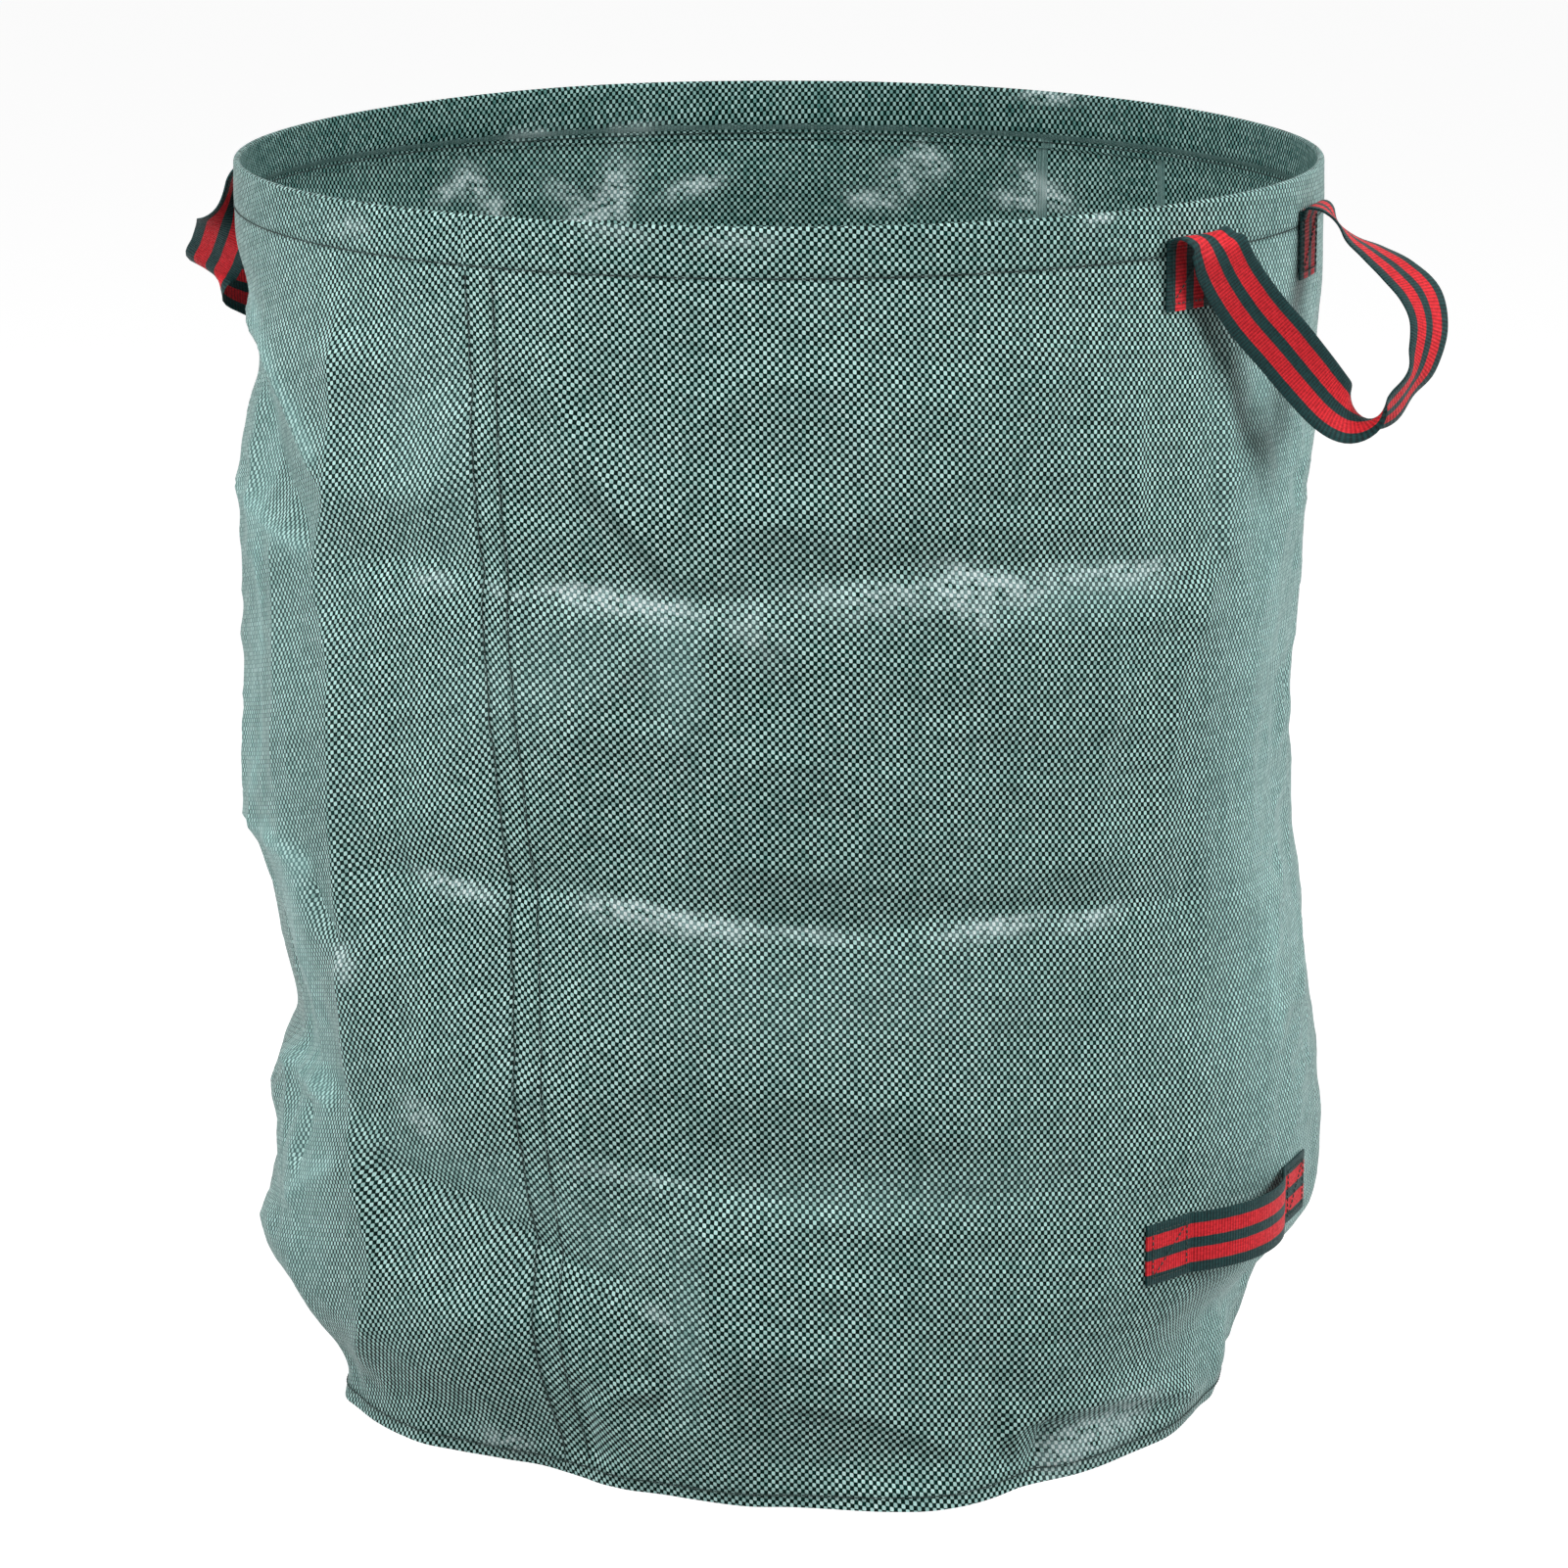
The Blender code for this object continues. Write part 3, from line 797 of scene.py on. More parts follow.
# Azimuths in degrees, and heights and rises in millimetres, along the edges of the flat faces
FACETS = Facets((
    ((-50.3, 760, 0), (-49.2, 726, 1), (-49.7, 686, 3), (-49.9, 645, 5), (-50.7, 585, 6), (-53.3, 548, 2),
     (-53.5, 524, 3), (-50.5, 491, 6), (-49.7, 445, 6), (-50.2, 378, 5), (-50.2, 323, 5), (-50.2, 286, 6),
     (-51, 235, 5), (-51.1, 210, 2), (-48.7, 173, 5), (-45.5, 118, 6), (-48.5, 70, 4), (-55.1, 23, 1),
     (-56.7, 0, -4)), ((-84.6, 675, 2), (-67.3, 659, 6), (-59.6, 630, 7), (-50.7, 585, 6)),
    ((-75, 640, -5), (-69.3, 612, -9), (-64.4, 588, -9), (-58.8, 572, -4)),
    ((-90, 562, 1), (-73, 560, 5), (-62.9, 552, 5), (-53.3, 548, 2)),
    ((-62.9, 552, 5), (-63.1, 513, 7), (-62.6, 466, 7), (-62.9, 417, 7), (-65.4, 366, 5)),
    ((-90, 352, 1), (-70.3, 357, 7), (-62.1, 356, 8), (-56.8, 351, 5)),
    ((-78.2, 328, -5), (-77, 303, -8), (-74.3, 269, -9), (-72.4, 242, -8), (-68.6, 227, -6)),
    ((-90, 208, -1), (-79.3, 211, -5), (-64.1, 219, -4), (-51.1, 210, 2)),
    ((-90, 198, 2), (-80, 200, 4), (-63, 206, 4), (-54, 198, 5)), ((-67.7, 121, 7), (-60.7, 148, 4), (-48.7, 173, 5)),
    ((-80, 200, 4), (-76.5, 160, 1), (-67.7, 121, 7), (-76.3, 94, 5)),
    ((-67.7, 121, 7), (-62.6, 72, 2), (-55.1, 23, 1)),
    upright(-90, (760, 0), (700, 0), (620, -1), (562, 1), (460, 0), (352, 1), (280, 0), (208, -1)),
    ((-90, 150, 1), (-86, 100, -3), (-80, 40, -4), (-76, 0, -6)),
    ((49, 760, 0), (48.4, 690, 3), (48.3, 624, 5), (48.7, 585, 5), (48.3, 549, 6), (47.3, 511, 3), (43.8, 483, 3),
     (43.3, 437, 2), (42.2, 404, 2), (42.3, 369, 2), (51, 340, 1), (46.9, 295, 3), (46.2, 245, 3), (46.6, 197, 2)),
    ((48.3, 549, 6), (59.8, 561, 4), (74.5, 556, 1), (90, 552, 0)),
    ((52.8, 680, 1), (58.3, 640, -3), (64, 600, -3), (59.8, 561, 4)),
    ((51, 340, 1), (61.1, 341, -1), (75, 334, -2), (90, 330, 0)), ((64.5, 317, 4), (63.7, 267, 6), (63.9, 219, 4)),
    ((90, 760, 0), (90, 680, 0), (90, 600, 0), (90, 552, 0), (90, 450, 0), (90, 330, 0), (90, 240, 0), (90, 160, 0),
     (85, 60, 0), (80, 0, 0)),
    ((-44.8, 202, 1), (-38.1, 208, 3), (-29, 208, 4), (-20.9, 213, 4), (-14.3, 208, 4), (-8.8, 197, 5),
     (-3, 191, 1), (4, 186, 0), (12.2, 188, 0), (22.5, 185, 0), (33.9, 188, 0)),
    ((-48.7, 173, 5), (-42.3, 175, -8), (-35, 168, -12), (-28.8, 158, -13), (-25.4, 149, -13), (-21.2, 142, -8),
     (-15.5, 133, -6), (-11.7, 120, -2)),
    ((-8.8, 197, 5), (-7.3, 166, 8), (-6.6, 129, 8), (-4.9, 86, 6), (-4.1, 64, 5), (-4.1, 40, 4), (-5.2, 0, 3)),
    ((-24.2, 100, -3), (-22.9, 60, -5), (-22.1, 30, -7), (-21.8, 0, -6)),
    ((-18.9, 50, 2), (-15.4, 62, 2), (-10.9, 70, 1)), ((-35.5, 100, 4), (-33.5, 50, 4), (-31.8, 12, 2)),
    ((23.8, 120, 0), (22, 66, -2), (22.8, 36, -4), (25.4, 0, -5)),
    ((24.3, 42, 3), (28.2, 44, 4), (35, 44, 4), (44.3, 36, 4), (54.2, 18, 3)),
    ((29.5, 30, -5), (36.5, 28, -4), (44.5, 20, -3)), ((29.3, 0, 2), (39.9, 0, 1), (60, 0, 0)),
    ((-0.8, 66, 1), (3.4, 65, 2), (7.5, 60, 2), (11.9, 52, 2), (16, 40, 1), (17.3, 26, 1)),
    ((0, 30, -2), (8.1, 25, -3), (14.1, 12, -3)), ((-40.1, 660, -1), (-39.9, 600, 1)),
    ((-10, 660, 1), (-9.9, 600, 2)), ((19.9, 660, 1), (19.9, 600, 2)), ((-42, 500, 0), (-42, 410, 0)),
    ((-12, 500, 1), (-11.9, 410, 2)), ((11.9, 500, 2), (12, 410, 1)), ((33.8, 500, 2), (33.8, 410, 2)),
    ((-42, 300, 0), (-42, 250, 0)), ((-12, 300, 1), (-12, 250, 1)), ((11.9, 300, 2), (12, 250, 1)),
    ((34.8, 300, 2), (34.9, 250, 1)), ((-54.3, 0, -4), (-39.9, 0, -4), (-31.9, 0, 1)), ((6, 0, 0), (18, 0, 0)),
    ((12, 140, 1), (14, 100, 1)), ((35.8, 140, 2), (35.8, 80, 2)),
    upright(128.6, (760, 0), (710, 2), (600, 8), (548, 4), (460, 9), (356, 4), (290, 9), (205, 4), (110, 6), (0, 1)),
    ((-134.8, 760, 0), (-135.6, 710, 2), (-134.5, 600, 8), (-134.5, 548, 4), (-134.5, 460, 9), (-134.5, 356, 4),
     (-134.5, 290, 9), (-134.5, 205, 4), (-134.5, 110, 6), (-134.5, 0, 1)),
    ((128.6, 548, 4), (145, 549, -3), (162, 545, -2), (180, 547, -3)),
    ((-134.5, 548, 4), (-150, 552, -3), (-165, 549, -2), (-180, 547, -3)),
    ((128.6, 356, 4), (146, 352, -3), (163, 355, -2), (180, 351, -3)),
    ((-134.5, 356, 4), (-148, 353, -3), (-164, 356, -2), (-180, 351, -3)),
    ((128.6, 205, 4), (144, 203, -3), (160, 199, -2), (180, 202, -3)),
    ((-134.5, 205, 4), (-150, 201, -3), (-166, 204, -2), (-180, 202, -3)),
    ((102, 552, -2), (115, 549, -3), (128.6, 548, 4)), ((90, 552, 0), (102, 552, -2)),
    ((90, 330, 0), (104, 351, -3), (117, 354, -3), (128.6, 356, 4)),
    ((90, 160, 0), (104, 198, -3), (118, 203, -3), (128.6, 205, 4)),
    ((-134.5, 548, 4), (-120, 551, -3), (-104, 556, -3), (-90, 562, 1)),
    ((-134.5, 356, 4), (-118, 352, -3), (-104, 355, -3), (-90, 352, 1)),
    ((-134.5, 205, 4), (-119, 207, -3), (-105, 203, -3), (-90, 208, -1)), ((150, 500, 3), (152, 410, 2)),
    ((-156, 500, 2), (-154, 410, 3)), ((160, 300, 2), (156, 250, 3)), ((-160, 300, 3), (-158, 250, 2)),
    ((108, 480, 3), (112, 420, 2)), ((-112, 500, 3), (-108, 410, 3)), ((-114, 300, 3), (-110, 250, 3)),
    ((106, 290, 3), (110, 250, 3)), ((150, 640, 3), (155, 600, 3)), ((-156, 660, 2), (-152, 610, 3)),
    ((106, 640, 2), (110, 600, 3)), ((-112, 650, 2), (-108, 600, 3)), ((150, 130, 3), (160, 70, -2)),
    ((-150, 140, 3), (-165, 60, -3)), ((105, 120, 2), (110, 60, -2)), ((-112, 130, 3), (-108, 60, -2)),
    ((180, 120, 3), (175, 50, 1)), ((-180, 120, 3), (-176, 50, 1)),
    *(upright(back, (760, 0), (700, 0), (640, 2), (547, -3), (450, 2), (351, -3), (280, 2), (202, -3), (120, 3),
     (0, 0)) for back in (-180, 180)), ((-160, 660, -3), (-150, 685, -3), (-143, 712, -1)),
    ((-166, 715, 1), (-161, 690, 4), (-158, 672, 3)), ((171, 655, 2), (168, 690, 4), (161, 716, 1)),
    ((152, 712, -1), (147, 690, -4), (142, 655, -3)),
))

FOLDS = (
    Fold(((-84.6, 675), (-67.3, 659), (-59.6, 630), (-51.5, 590)), 0.0035, 10, 6, 20),
    Fold(((-88, 562), (-73, 560), (-62.9, 552), (-55, 549)), 0.003, 6, 8, 15),
    Fold(((-62.9, 552), (-63.1, 513), (-62.6, 466), (-62.9, 417), (-65.4, 366)), 0.0022, 8, 6, 15),
    Fold(((-86, 353), (-70.3, 357), (-62.1, 356), (-56.8, 351)), 0.0032, 6, 8, 15),
    Fold(((-84, 200), (-73, 203), (-63, 206), (-55, 200)), 0.0032, 5, 8, 15),
    Fold(((-67.7, 121), (-60.7, 148), (-50, 171)), 0.0026, 7, 6, 15),
    Fold(((-50, 180), (-42.3, 175), (-35, 168), (-28.8, 158), (-21.2, 140), (-13, 122)), -0.004, 16, 7, 30),
    Fold(((-49.2, 726), (-49.7, 686), (-49.9, 645), (-50.7, 585), (-53.3, 548), (-53.5, 524), (-50.5, 491),
     (-49.7, 445), (-50.2, 378), (-50.2, 323), (-50.2, 286), (-51, 235), (-51.1, 210), (-48.7, 173), (-45.5, 118),
     (-48.5, 70), (-55.1, 23)), 0.0055, 20, 14, 30),
    Fold(((48.4, 700), (48.3, 624), (48.7, 585), (48.3, 549), (47.3, 511), (43.8, 483), (43.3, 437), (42.2, 404),
     (42.3, 369)), 0.0035, 20, 20, 40),
    Fold(((-29, 728), (-29, 690), (-27.7, 649), (-27.4, 570), (-27.2, 489), (-26.5, 402)), 0.004, 30, 24, 100),
    Fold(((-53.3, 548), (-39, 555), (-29.7, 552), (-23.1, 550), (-14.9, 551), (-7.3, 546), (-2.4, 548), (2.1, 552),
     (10, 560), (20.3, 561), (28.3, 560), (35.7, 556), (48.3, 549)), -0.0042, 20, 9),
    Fold(((-49.9, 353), (-44.1, 364), (-35.8, 369), (-25.2, 367), (-19.8, 371), (-14, 368), (-9.4, 363),
     (-3.7, 359), (3.3, 354), (7.8, 350), (12.4, 353), (20.1, 354), (27.6, 351), (33.5, 351), (41.4, 349),
     (51, 340)), -0.0046, 20, 9),
    Fold(((-51.1, 193), (-44.8, 202), (-38.1, 208), (-28.9, 207), (-20.9, 213), (-14.3, 208), (-8.8, 197),
     (-3, 191), (4, 186), (12.2, 188), (22.5, 185), (33.9, 188)), -0.003, 22, 14),
    Fold(((-56.3, 347), (-55.2, 331), (-50.7, 318), (-48.6, 302)), -0.005, 8, 6, 12),
    Fold(((-63.4, 200), (-62.4, 176), (-64.6, 148)), -0.006, 9, 7, 12),
    Fold(((-69.3, 200), (-68.7, 176), (-69.6, 152)), -0.003, 8, 8, 12),
    Fold(((-20.4, 75), (-20.8, 55), (-20.6, 40), (-20.6, 0)), -0.007, 10, 5, 20),
    Fold(((-20.6, 45), (-19.1, 56), (-15.5, 66), (-10.9, 74)), 0.0045, 10, 5, 12),
    Fold(((21.6, 28), (25, 40), (28.6, 41), (35.5, 41), (44.3, 33), (54.2, 18)), 0.004, 12, 4, 15),
    Fold(((29, 44), (28.7, 30), (27.3, 0)), -0.006, 12, 6, 8),
    Fold(((-0.8, 66), (3.4, 65), (7.5, 60), (11.9, 52), (16, 40), (17.3, 26)), 0.003, 16, 6, 15),
    Fold(((-25, 701), (-22.4, 663), (-18.9, 629), (-14.9, 592), (-11, 562), (-7.9, 548)), 0.0042, 7, 34, 50),
    Fold(((-25.3, 365), (-24, 433), (-17, 494), (-9.1, 540)), 0.0032, 26, 12, 40),
    Fold(((-31.8, 660), (-34.9, 617), (-36.8, 587), (-38.2, 563)), 0.003, 12, 20, 30),
    Fold(((2, 700), (6, 660), (9, 610), (9, 565)), 0.0026, 22, 10, 40),
    Fold(((30, 700), (27, 650), (30, 600), (29, 565)), 0.0026, 14, 22, 40),
    Fold(((20, 345), (23, 300), (18, 250), (19, 200)), 0.0026, 14, 22, 40),
    Fold(((-4, 350), (-8, 300), (-6, 250), (-8.8, 200)), 0.0026, 22, 12, 40),
    Fold(((34, 540), (36, 480), (33, 420), (35, 355)), 0.0028, 12, 22, 40),
    Fold(((8, 545), (5, 480), (9, 420), (6, 360)), 0.0024, 22, 12, 40),
    Fold(((14.3, 548), (19.2, 522), (23.1, 503)), 0.002, 10, 14, 15),
    Fold(((-3.5, 548), (-1, 525), (4, 505)), 0.0022, 10, 14, 15), Fold(((-175, 548), (-134.5, 552)), -0.003, 18, 12),
    Fold(((128.6, 552), (175, 546)), -0.003, 18, 12), Fold(((-178, 352), (-134.5, 356)), -0.003, 18, 12),
    Fold(((128.6, 355), (178, 350)), -0.003, 18, 12), Fold(((-60, 731), (-55, 728), (-46.9, 727)), 0.0006, 4, 4, 10),
)

# Patches where folding whitened the tape, with a highlight painted on the crumples below the folds: azimuth, level,
# half turn, half height, strength, tilt and crest
CRUSH_AND_HIGHLIGHT_MARKS = tuple(Mark(*row) for row in (
    (-36.9, 547, 2.4, 6, 0.55, -6, 0.3), (-27.5, 546, 2.2, 4, 0.6, -6, 0.3), (-14.5, 546, 6.6, 9, 1.15, -9, 0.35),
    (-20.5, 547, 3, 5, 0.85, -6, 0.3), (-2.6, 530, 2.2, 18, 0.32, 40), (10.5, 552, 8, 14, 0.5, 0, 0.3),
    (21.5, 554, 5.5, 10, 0.95, -18, 0.5), (19, 538, 3, 6, 0.75, -38), (30.5, 555, 4, 10, 0.5, 0, 0.3),
    (38, 552, 4.5, 10, 0.7, 0, 0.3), (-35, 364, 4.6, 6, 0.95, -8, 0.3), (-16, 363, 4.2, 8, 0.95, -4, 0.4),
    (-8, 356, 5.4, 8, 1.1, -8, 0.4), (3.5, 350, 5, 5, 0.55, -6, 0.3), (22, 349, 5.2, 7, 1.05, 2, 0.3),
    (33.5, 346, 3.6, 6, 0.9, 6, 0.3), (-15.8, 203, 6, 5, 0.4, -6, 0.4), (-39.5, 216, 1.6, 16, 0.55, 60),
    (36.5, 24, 7.5, 14, 0.85, 8), (30.5, 14, 2, 12, 0.6, 0), (-32.6, 14, 3.4, 6, 0.75, 0),
    (-12, 118, 1.5, 4, 0.55, -20), (-49.5, 302, 1.8, 8, 0.85, -30), (-48, 745, 3, 6, 0.45, 0),
    (33, 757, 1.6, 3, 0.8, 0), (-16, 755, 3.4, 3, 0.6, 0), (-4, 752, 3.4, 4, 0.35, 0), (-142.1, 705, 2.2, 7, 1.2, 50),
    (-144.9, 684, 1.8, 7, 1, -50), (-139, 700, 2, 5, 0.8, -10), (-160.6, 690, 1.8, 20, 1.2, 14),
    (-158, 676, 3.4, 6, 0.9, -10), (-155, 690, 3.6, 6, 0.5, 30), (-170, 693, 3.2, 5, 1.1, -16),
    (169.3, 684, 2.8, 5, 1.1, 6), (162.3, 712, 2.4, 6, 1.1, 40), (165.5, 700, 2.4, 10, 0.6, 60),
    (148, 698, 3.8, 6, 1, 28), (151.5, 688, 3, 5, 0.9, 10), (147, 757, 4, 4, 0.8, 0), (-150, 733, 3, 3, 0.7, 0),
    (-163, 733, 3, 3, 0.6, 0),
))


# Painted sheen on the dark tape, as a share: bands and patches on the flanks and on facets that face the lamps
PAINTED_SHEEN = (
    Mark(-68, 460, 15, 300, 0.3),
    Fold(((-63, 668), (-68, 571), (-67, 536), (-68.2, 486), (-73.6, 418), (-69.2, 375)), 0.42, 3, 70, 20),
    Fold(((-69.2, 375), (-62, 353), (-57, 335)), 0.4, 3, 40, 20),
    Fold(((54, 600), (60, 560), (66, 500), (64, 450)), 0.34, 4, 14, 20), Mark(-64, 240, 10, 120, 0.44),
    Mark(-70, 100, 14, 80, 0.32), Mark(70, 420, 17, 340, 0.62), Mark(68, 80, 14, 80, 0.46),
    Mark(64, 660, 12, 100, 0.3), Mark(-23.5, 500, 5, 70, 0.16, -62), Mark(-37.5, 630, 6, 60, 0.16),
    Mark(-10, 505, 2.6, 30, 0.3), Mark(-38, 188, 9, 12, 0.24, -6), Mark(-22, 172, 10, 20, 0.16, -20),
    Mark(-9, 115, 1.8, 50, 0.24), Mark(12, 190, 16, 14, 0.16), Mark(32, 540, 9, 12, 0.22), Mark(6, 310, 18, 30, 0.1),
    Mark(-62, 285, 4.5, 55, 0.36),
    Fold(((-78, 690), (-70, 668), (-62.8, 645), (-57.4, 625), (-51.5, 600)), 0.85, 6, 7, 15),
    Fold(((-84, 566), (-73, 560), (-62.9, 552), (-54, 548)), 0.7, 4, 6, 15),
    Fold(((-66.6, 545), (-67.4, 511), (-68.4, 450), (-70.3, 398), (-73.5, 363)), 0.6, 4, 4, 20),
    Fold(((-80, 354), (-70.3, 358), (-62.1, 357), (-55, 351)), 0.85, 3, 5, 15),
    Fold(((-82, 204), (-73, 207), (-63, 210), (-55, 203)), 0.7, 4, 5, 15),
    Fold(((-68.5, 121), (-60.7, 148), (-52, 176)), 0.6, 5, 5, 20),
    Fold(((58, 660), (63, 615), (66, 570)), 0.5, 7, 7, 20), Fold(((65, 320), (64, 267), (64, 219)), 0.5, 6, 6, 20),
)

# Painted shade: dark lines along the shaded side of two creases on the front, as a share
PAINTED_CREASE_SHADE = (
    Fold(((-21.5, 628), (-16.5, 594), (-12.5, 568), (-8.7, 546)), 0.62, 4.5, 3.5, 30),
    Fold(((-29.5, 690), (-25, 655), (-20.5, 622)), 0.4, 5, 4, 30),
)


# Each layer of soft unevenness, and how far it rises
BROAD_WAVES = ((SoftNoise(3, 15, 0.110), 0.0012), (SoftNoise(4, 31, 0.060), 0.0010))
FLAT_FACES = ((SoftNoise(5, 26, 0.070), 0.0044),)
CRUMPLES = ((SoftNoise(7, 62, 0.030), 0.0024), (SoftNoise(8, 120, 0.017), 0.0010))
CRUSHED_GRAIN = SoftNoise(6, 150, 0.013)


@dataclass(frozen=True)
class Wall:
    """The standing wall: the model's own shape, with the creases of the real cloth."""

    radius: float = 0.335
    height: float = 0.760
    fabric: float = 0.0006
    top: float = 0.72845
    seat_band: float = 0.008
    swell: float = 0.020
    swell_fade: float = 0.045
    tuck_height: float = 0.100
    tuck_power: float = 1.5
    seam_top: float = -31.0
    seam_floor: float = -23.0
    seam_width: float = 0.018
    flank: float = 75.0
    flank_reach: float = 12.0
    hem_hold: float = 0.720
    hem_fade: float = 0.060
    floor_fade: float = 0.02
    handle_azimuth: float = 57.0
    handle_level: float = 0.131
    handle_reach: tuple[float, float] = (17.0, 0.024)
    handle_fade: tuple[float, float] = (9.0, 0.030)
    tabs: tuple[float, ...] = (44.65, 70.35, -102.65, -128.35)
    tab_reach: float = 7.5
    tab_fade: float = 3.0
    tab_foot: float = 0.530
    tab_foot_fade: float = 0.025
    tab_room: float = 0.0006
    swells: tuple[tuple[float, ...], ...] = (
        (92, 0.565, 42, 0.170, -0.73), (84, 0.215, 40, 0.110, 0.43), (-96, 0.872, 30, 0.070, -0.78),
        (-82, 0.291, 34, 0.080, -1.12), (-70, 0.590, 40, 0.130, 0.15), (10, 0.130, 34, 0.100, 0.45),
        (-4, 0.470, 26, 0.140, -0.20), (30, 0.720, 30, 0.110, 0.15), (-30, 0.340, 20, 0.090, 0.20),
        (165, 0.560, 40, 0.160, -0.55), (140, 0.240, 34, 0.110, 0.30), (-150, 0.300, 36, 0.120, -0.50),
        (-138, 0.640, 30, 0.140, 0.20), (-90, 0.620, 34, 0.250, -0.20), (-88, 0.406, 30, 0.060, -0.38),
        (-88, 0.223, 30, 0.050, -0.08), (-84, 0.160, 30, 0.040, -0.56), (-78, 0.080, 26, 0.040, 0.16),
        (-60, 0.000, 28, 0.055, -2.25), (64, 0.067, 26, 0.050, -1.73), (80, 0.120, 26, 0.040, 0.13),
        (88, 0.330, 30, 0.060, -0.10),
    )
    floor_shares: tuple[float, ...] = (
        0.998, 1.058, 0.995, 0.962, 0.915, 0.855, 0.840, 0.880, 0.900, 0.915, 0.925, 0.915,
        0.900, 0.905, 0.920, 0.930, 0.915, 0.890, 0.885, 0.825, 0.925, 0.945, 0.900, 0.965,
    )

    def floor_radius(self, azimuth: Array) -> Array:
        """Radius of the floor seam.

        Args:
            azimuth: Degrees from the front.

        Returns:
            Metres.
        """
        shares = np.array(self.floor_shares)
        place = (azimuth % 360.0) / 360.0 * len(shares)
        low = np.floor(place).astype(int)
        first, second = shares[low % len(shares)], shares[(low + 1) % len(shares)]
        return self.radius * (first + (second - first) * eased(place - low))

    def standing(self, azimuth: Array, level: Array) -> Array:
        """Radius of the model's wall, without the creases.

        Args:
            azimuth: Degrees from the front.
            level: Heights in metres.

        Returns:
            Metres from the axis.
        """
        rise = np.zeros(np.broadcast(azimuth, level).shape)
        for middle, share, half_width, half_height, height in self.swells:
            turn = wrapped(azimuth - middle)
            rise = rise + height * np.exp(
                -((turn / half_width) ** 2) - ((level / self.height - share) / half_height) ** 2
            )
        full = self.radius + self.swell * rise * eased((self.top - self.seat_band - level) / self.swell_fade)
        tuck = np.maximum(1.0 - level / self.tuck_height, 0.0) ** self.tuck_power
        return full + (self.floor_radius(azimuth) - full) * tuck

    def total(self, lines: tuple[Fold | Mark, ...], azimuth: Array, level: Array) -> Array:
        """Sum of folds or marks at places on the wall."""
        return sum(line(wrapped(azimuth), level, self.radius) for line in lines)

    def relief(self, azimuth: Array, level: Array) -> Array:
        """How far creases and crumples stand out from the model's wall.

        Args:
            azimuth: Degrees from the front.
            level: Heights in metres.

        Returns:
            Metres out.
        """
        turn = wrapped(azimuth)
        flank = eased(1.0 - np.abs(np.abs(turn) - self.flank) / self.flank_reach)
        rise = FACETS(turn, level, self.radius) + self.total(FOLDS, azimuth, level)
        rise = rise + sum(noise(azimuth, level) * height for noise, height in BROAD_WAVES)
        rise = rise + sum(noise.ridges(azimuth, level) * height for noise, height in FLAT_FACES)
        small = sum(noise.ridges(azimuth, level) * height for noise, height in CRUMPLES)
        crush_and_highlight = np.clip(self.total(CRUSH_AND_HIGHLIGHT_MARKS, azimuth, level), 0.0, 1.2)
        rise = rise + small * (0.6 + 0.8 * flank) + CRUSHED_GRAIN(azimuth, level) * (0.00015 + 0.0010 * crush_and_highlight)
        rise = rise * eased((self.hem_hold - level) / self.hem_fade) * (0.45 + 0.55 * eased(level / self.floor_fade))
        return rise * self.handle_clearance(azimuth, level)

    def handle_clearance(self, azimuth: Array, level: Array) -> Array:
        """Hold the cloth where the bottom handle is sewn to it.

        Args:
            azimuth: Degrees from the front.
            level: Heights in metres.

        Returns:
            The share of the relief that is left.
        """
        (wide, high), (side_fade, end_fade) = self.handle_reach, self.handle_fade
        away = np.maximum(np.abs(azimuth - self.handle_azimuth) - wide, 0.0) / side_fade
        above = np.maximum(np.abs(level - self.handle_level) - high, 0.0) / end_fade
        return 0.12 + 0.88 * eased(np.hypot(away, above))

    def under_tabs(self, azimuth: Array, level: Array) -> Array:
        """Where the rim handles' sewn ends come down over the folded cloth, from 0 to 1."""
        away = np.min([np.abs(wrapped(azimuth - middle)) for middle in self.tabs], axis=0)
        return eased((self.tab_reach - away) / self.tab_fade) * eased((level - self.tab_foot) / self.tab_foot_fade)

    def crush_and_highlight(self, azimuth: Array, level: Array) -> Array:
        """Where folding has whitened the tape, together with a highlight painted on the crumples below the folds, from
        0 to 1.
        """
        return np.clip(self.total(CRUSH_AND_HIGHLIGHT_MARKS, azimuth, level), 0.0, 1.0)

    def painted_sheen(self, azimuth: Array, level: Array) -> Array:
        """Where sheen is painted on the dark tape, from 0 to 1."""
        return np.clip(self.total(PAINTED_SHEEN, azimuth, level), 0.0, 1.0)

    def points(self, azimuth: Array, level: Array, proud: float | Array = 0.0) -> Array:
        """Places on the outside of the wall.

        Args:
            azimuth: Degrees from the front.
            level: Heights in metres.
            proud: How far out from the cloth, in metres.

        Returns:
            Points, in the last axis.
        """
        azimuth, level = np.broadcast_arrays(np.asarray(azimuth, float), np.asarray(level, float))
        radius = self.standing(azimuth, level) + self.relief(azimuth, level)
        over = np.maximum(radius - self.radius - self.tab_room, 0.0)
        return ring_at(azimuth, radius - over * self.under_tabs(azimuth, level) + proud, level)

    def seam(self, level: Array, side: float = 0.0) -> Array:
        """Azimuth of the seam at a height.

        Args:
            level: Heights in metres.
            side: -0.5 for the left row of thread, 0.5 for the right one.

        Returns:
            Degrees from the front.
        """
        middle = self.seam_floor + (self.seam_top - self.seam_floor) * np.asarray(level, float) / self.height
        return middle + math.degrees(self.seam_width * side / self.radius)


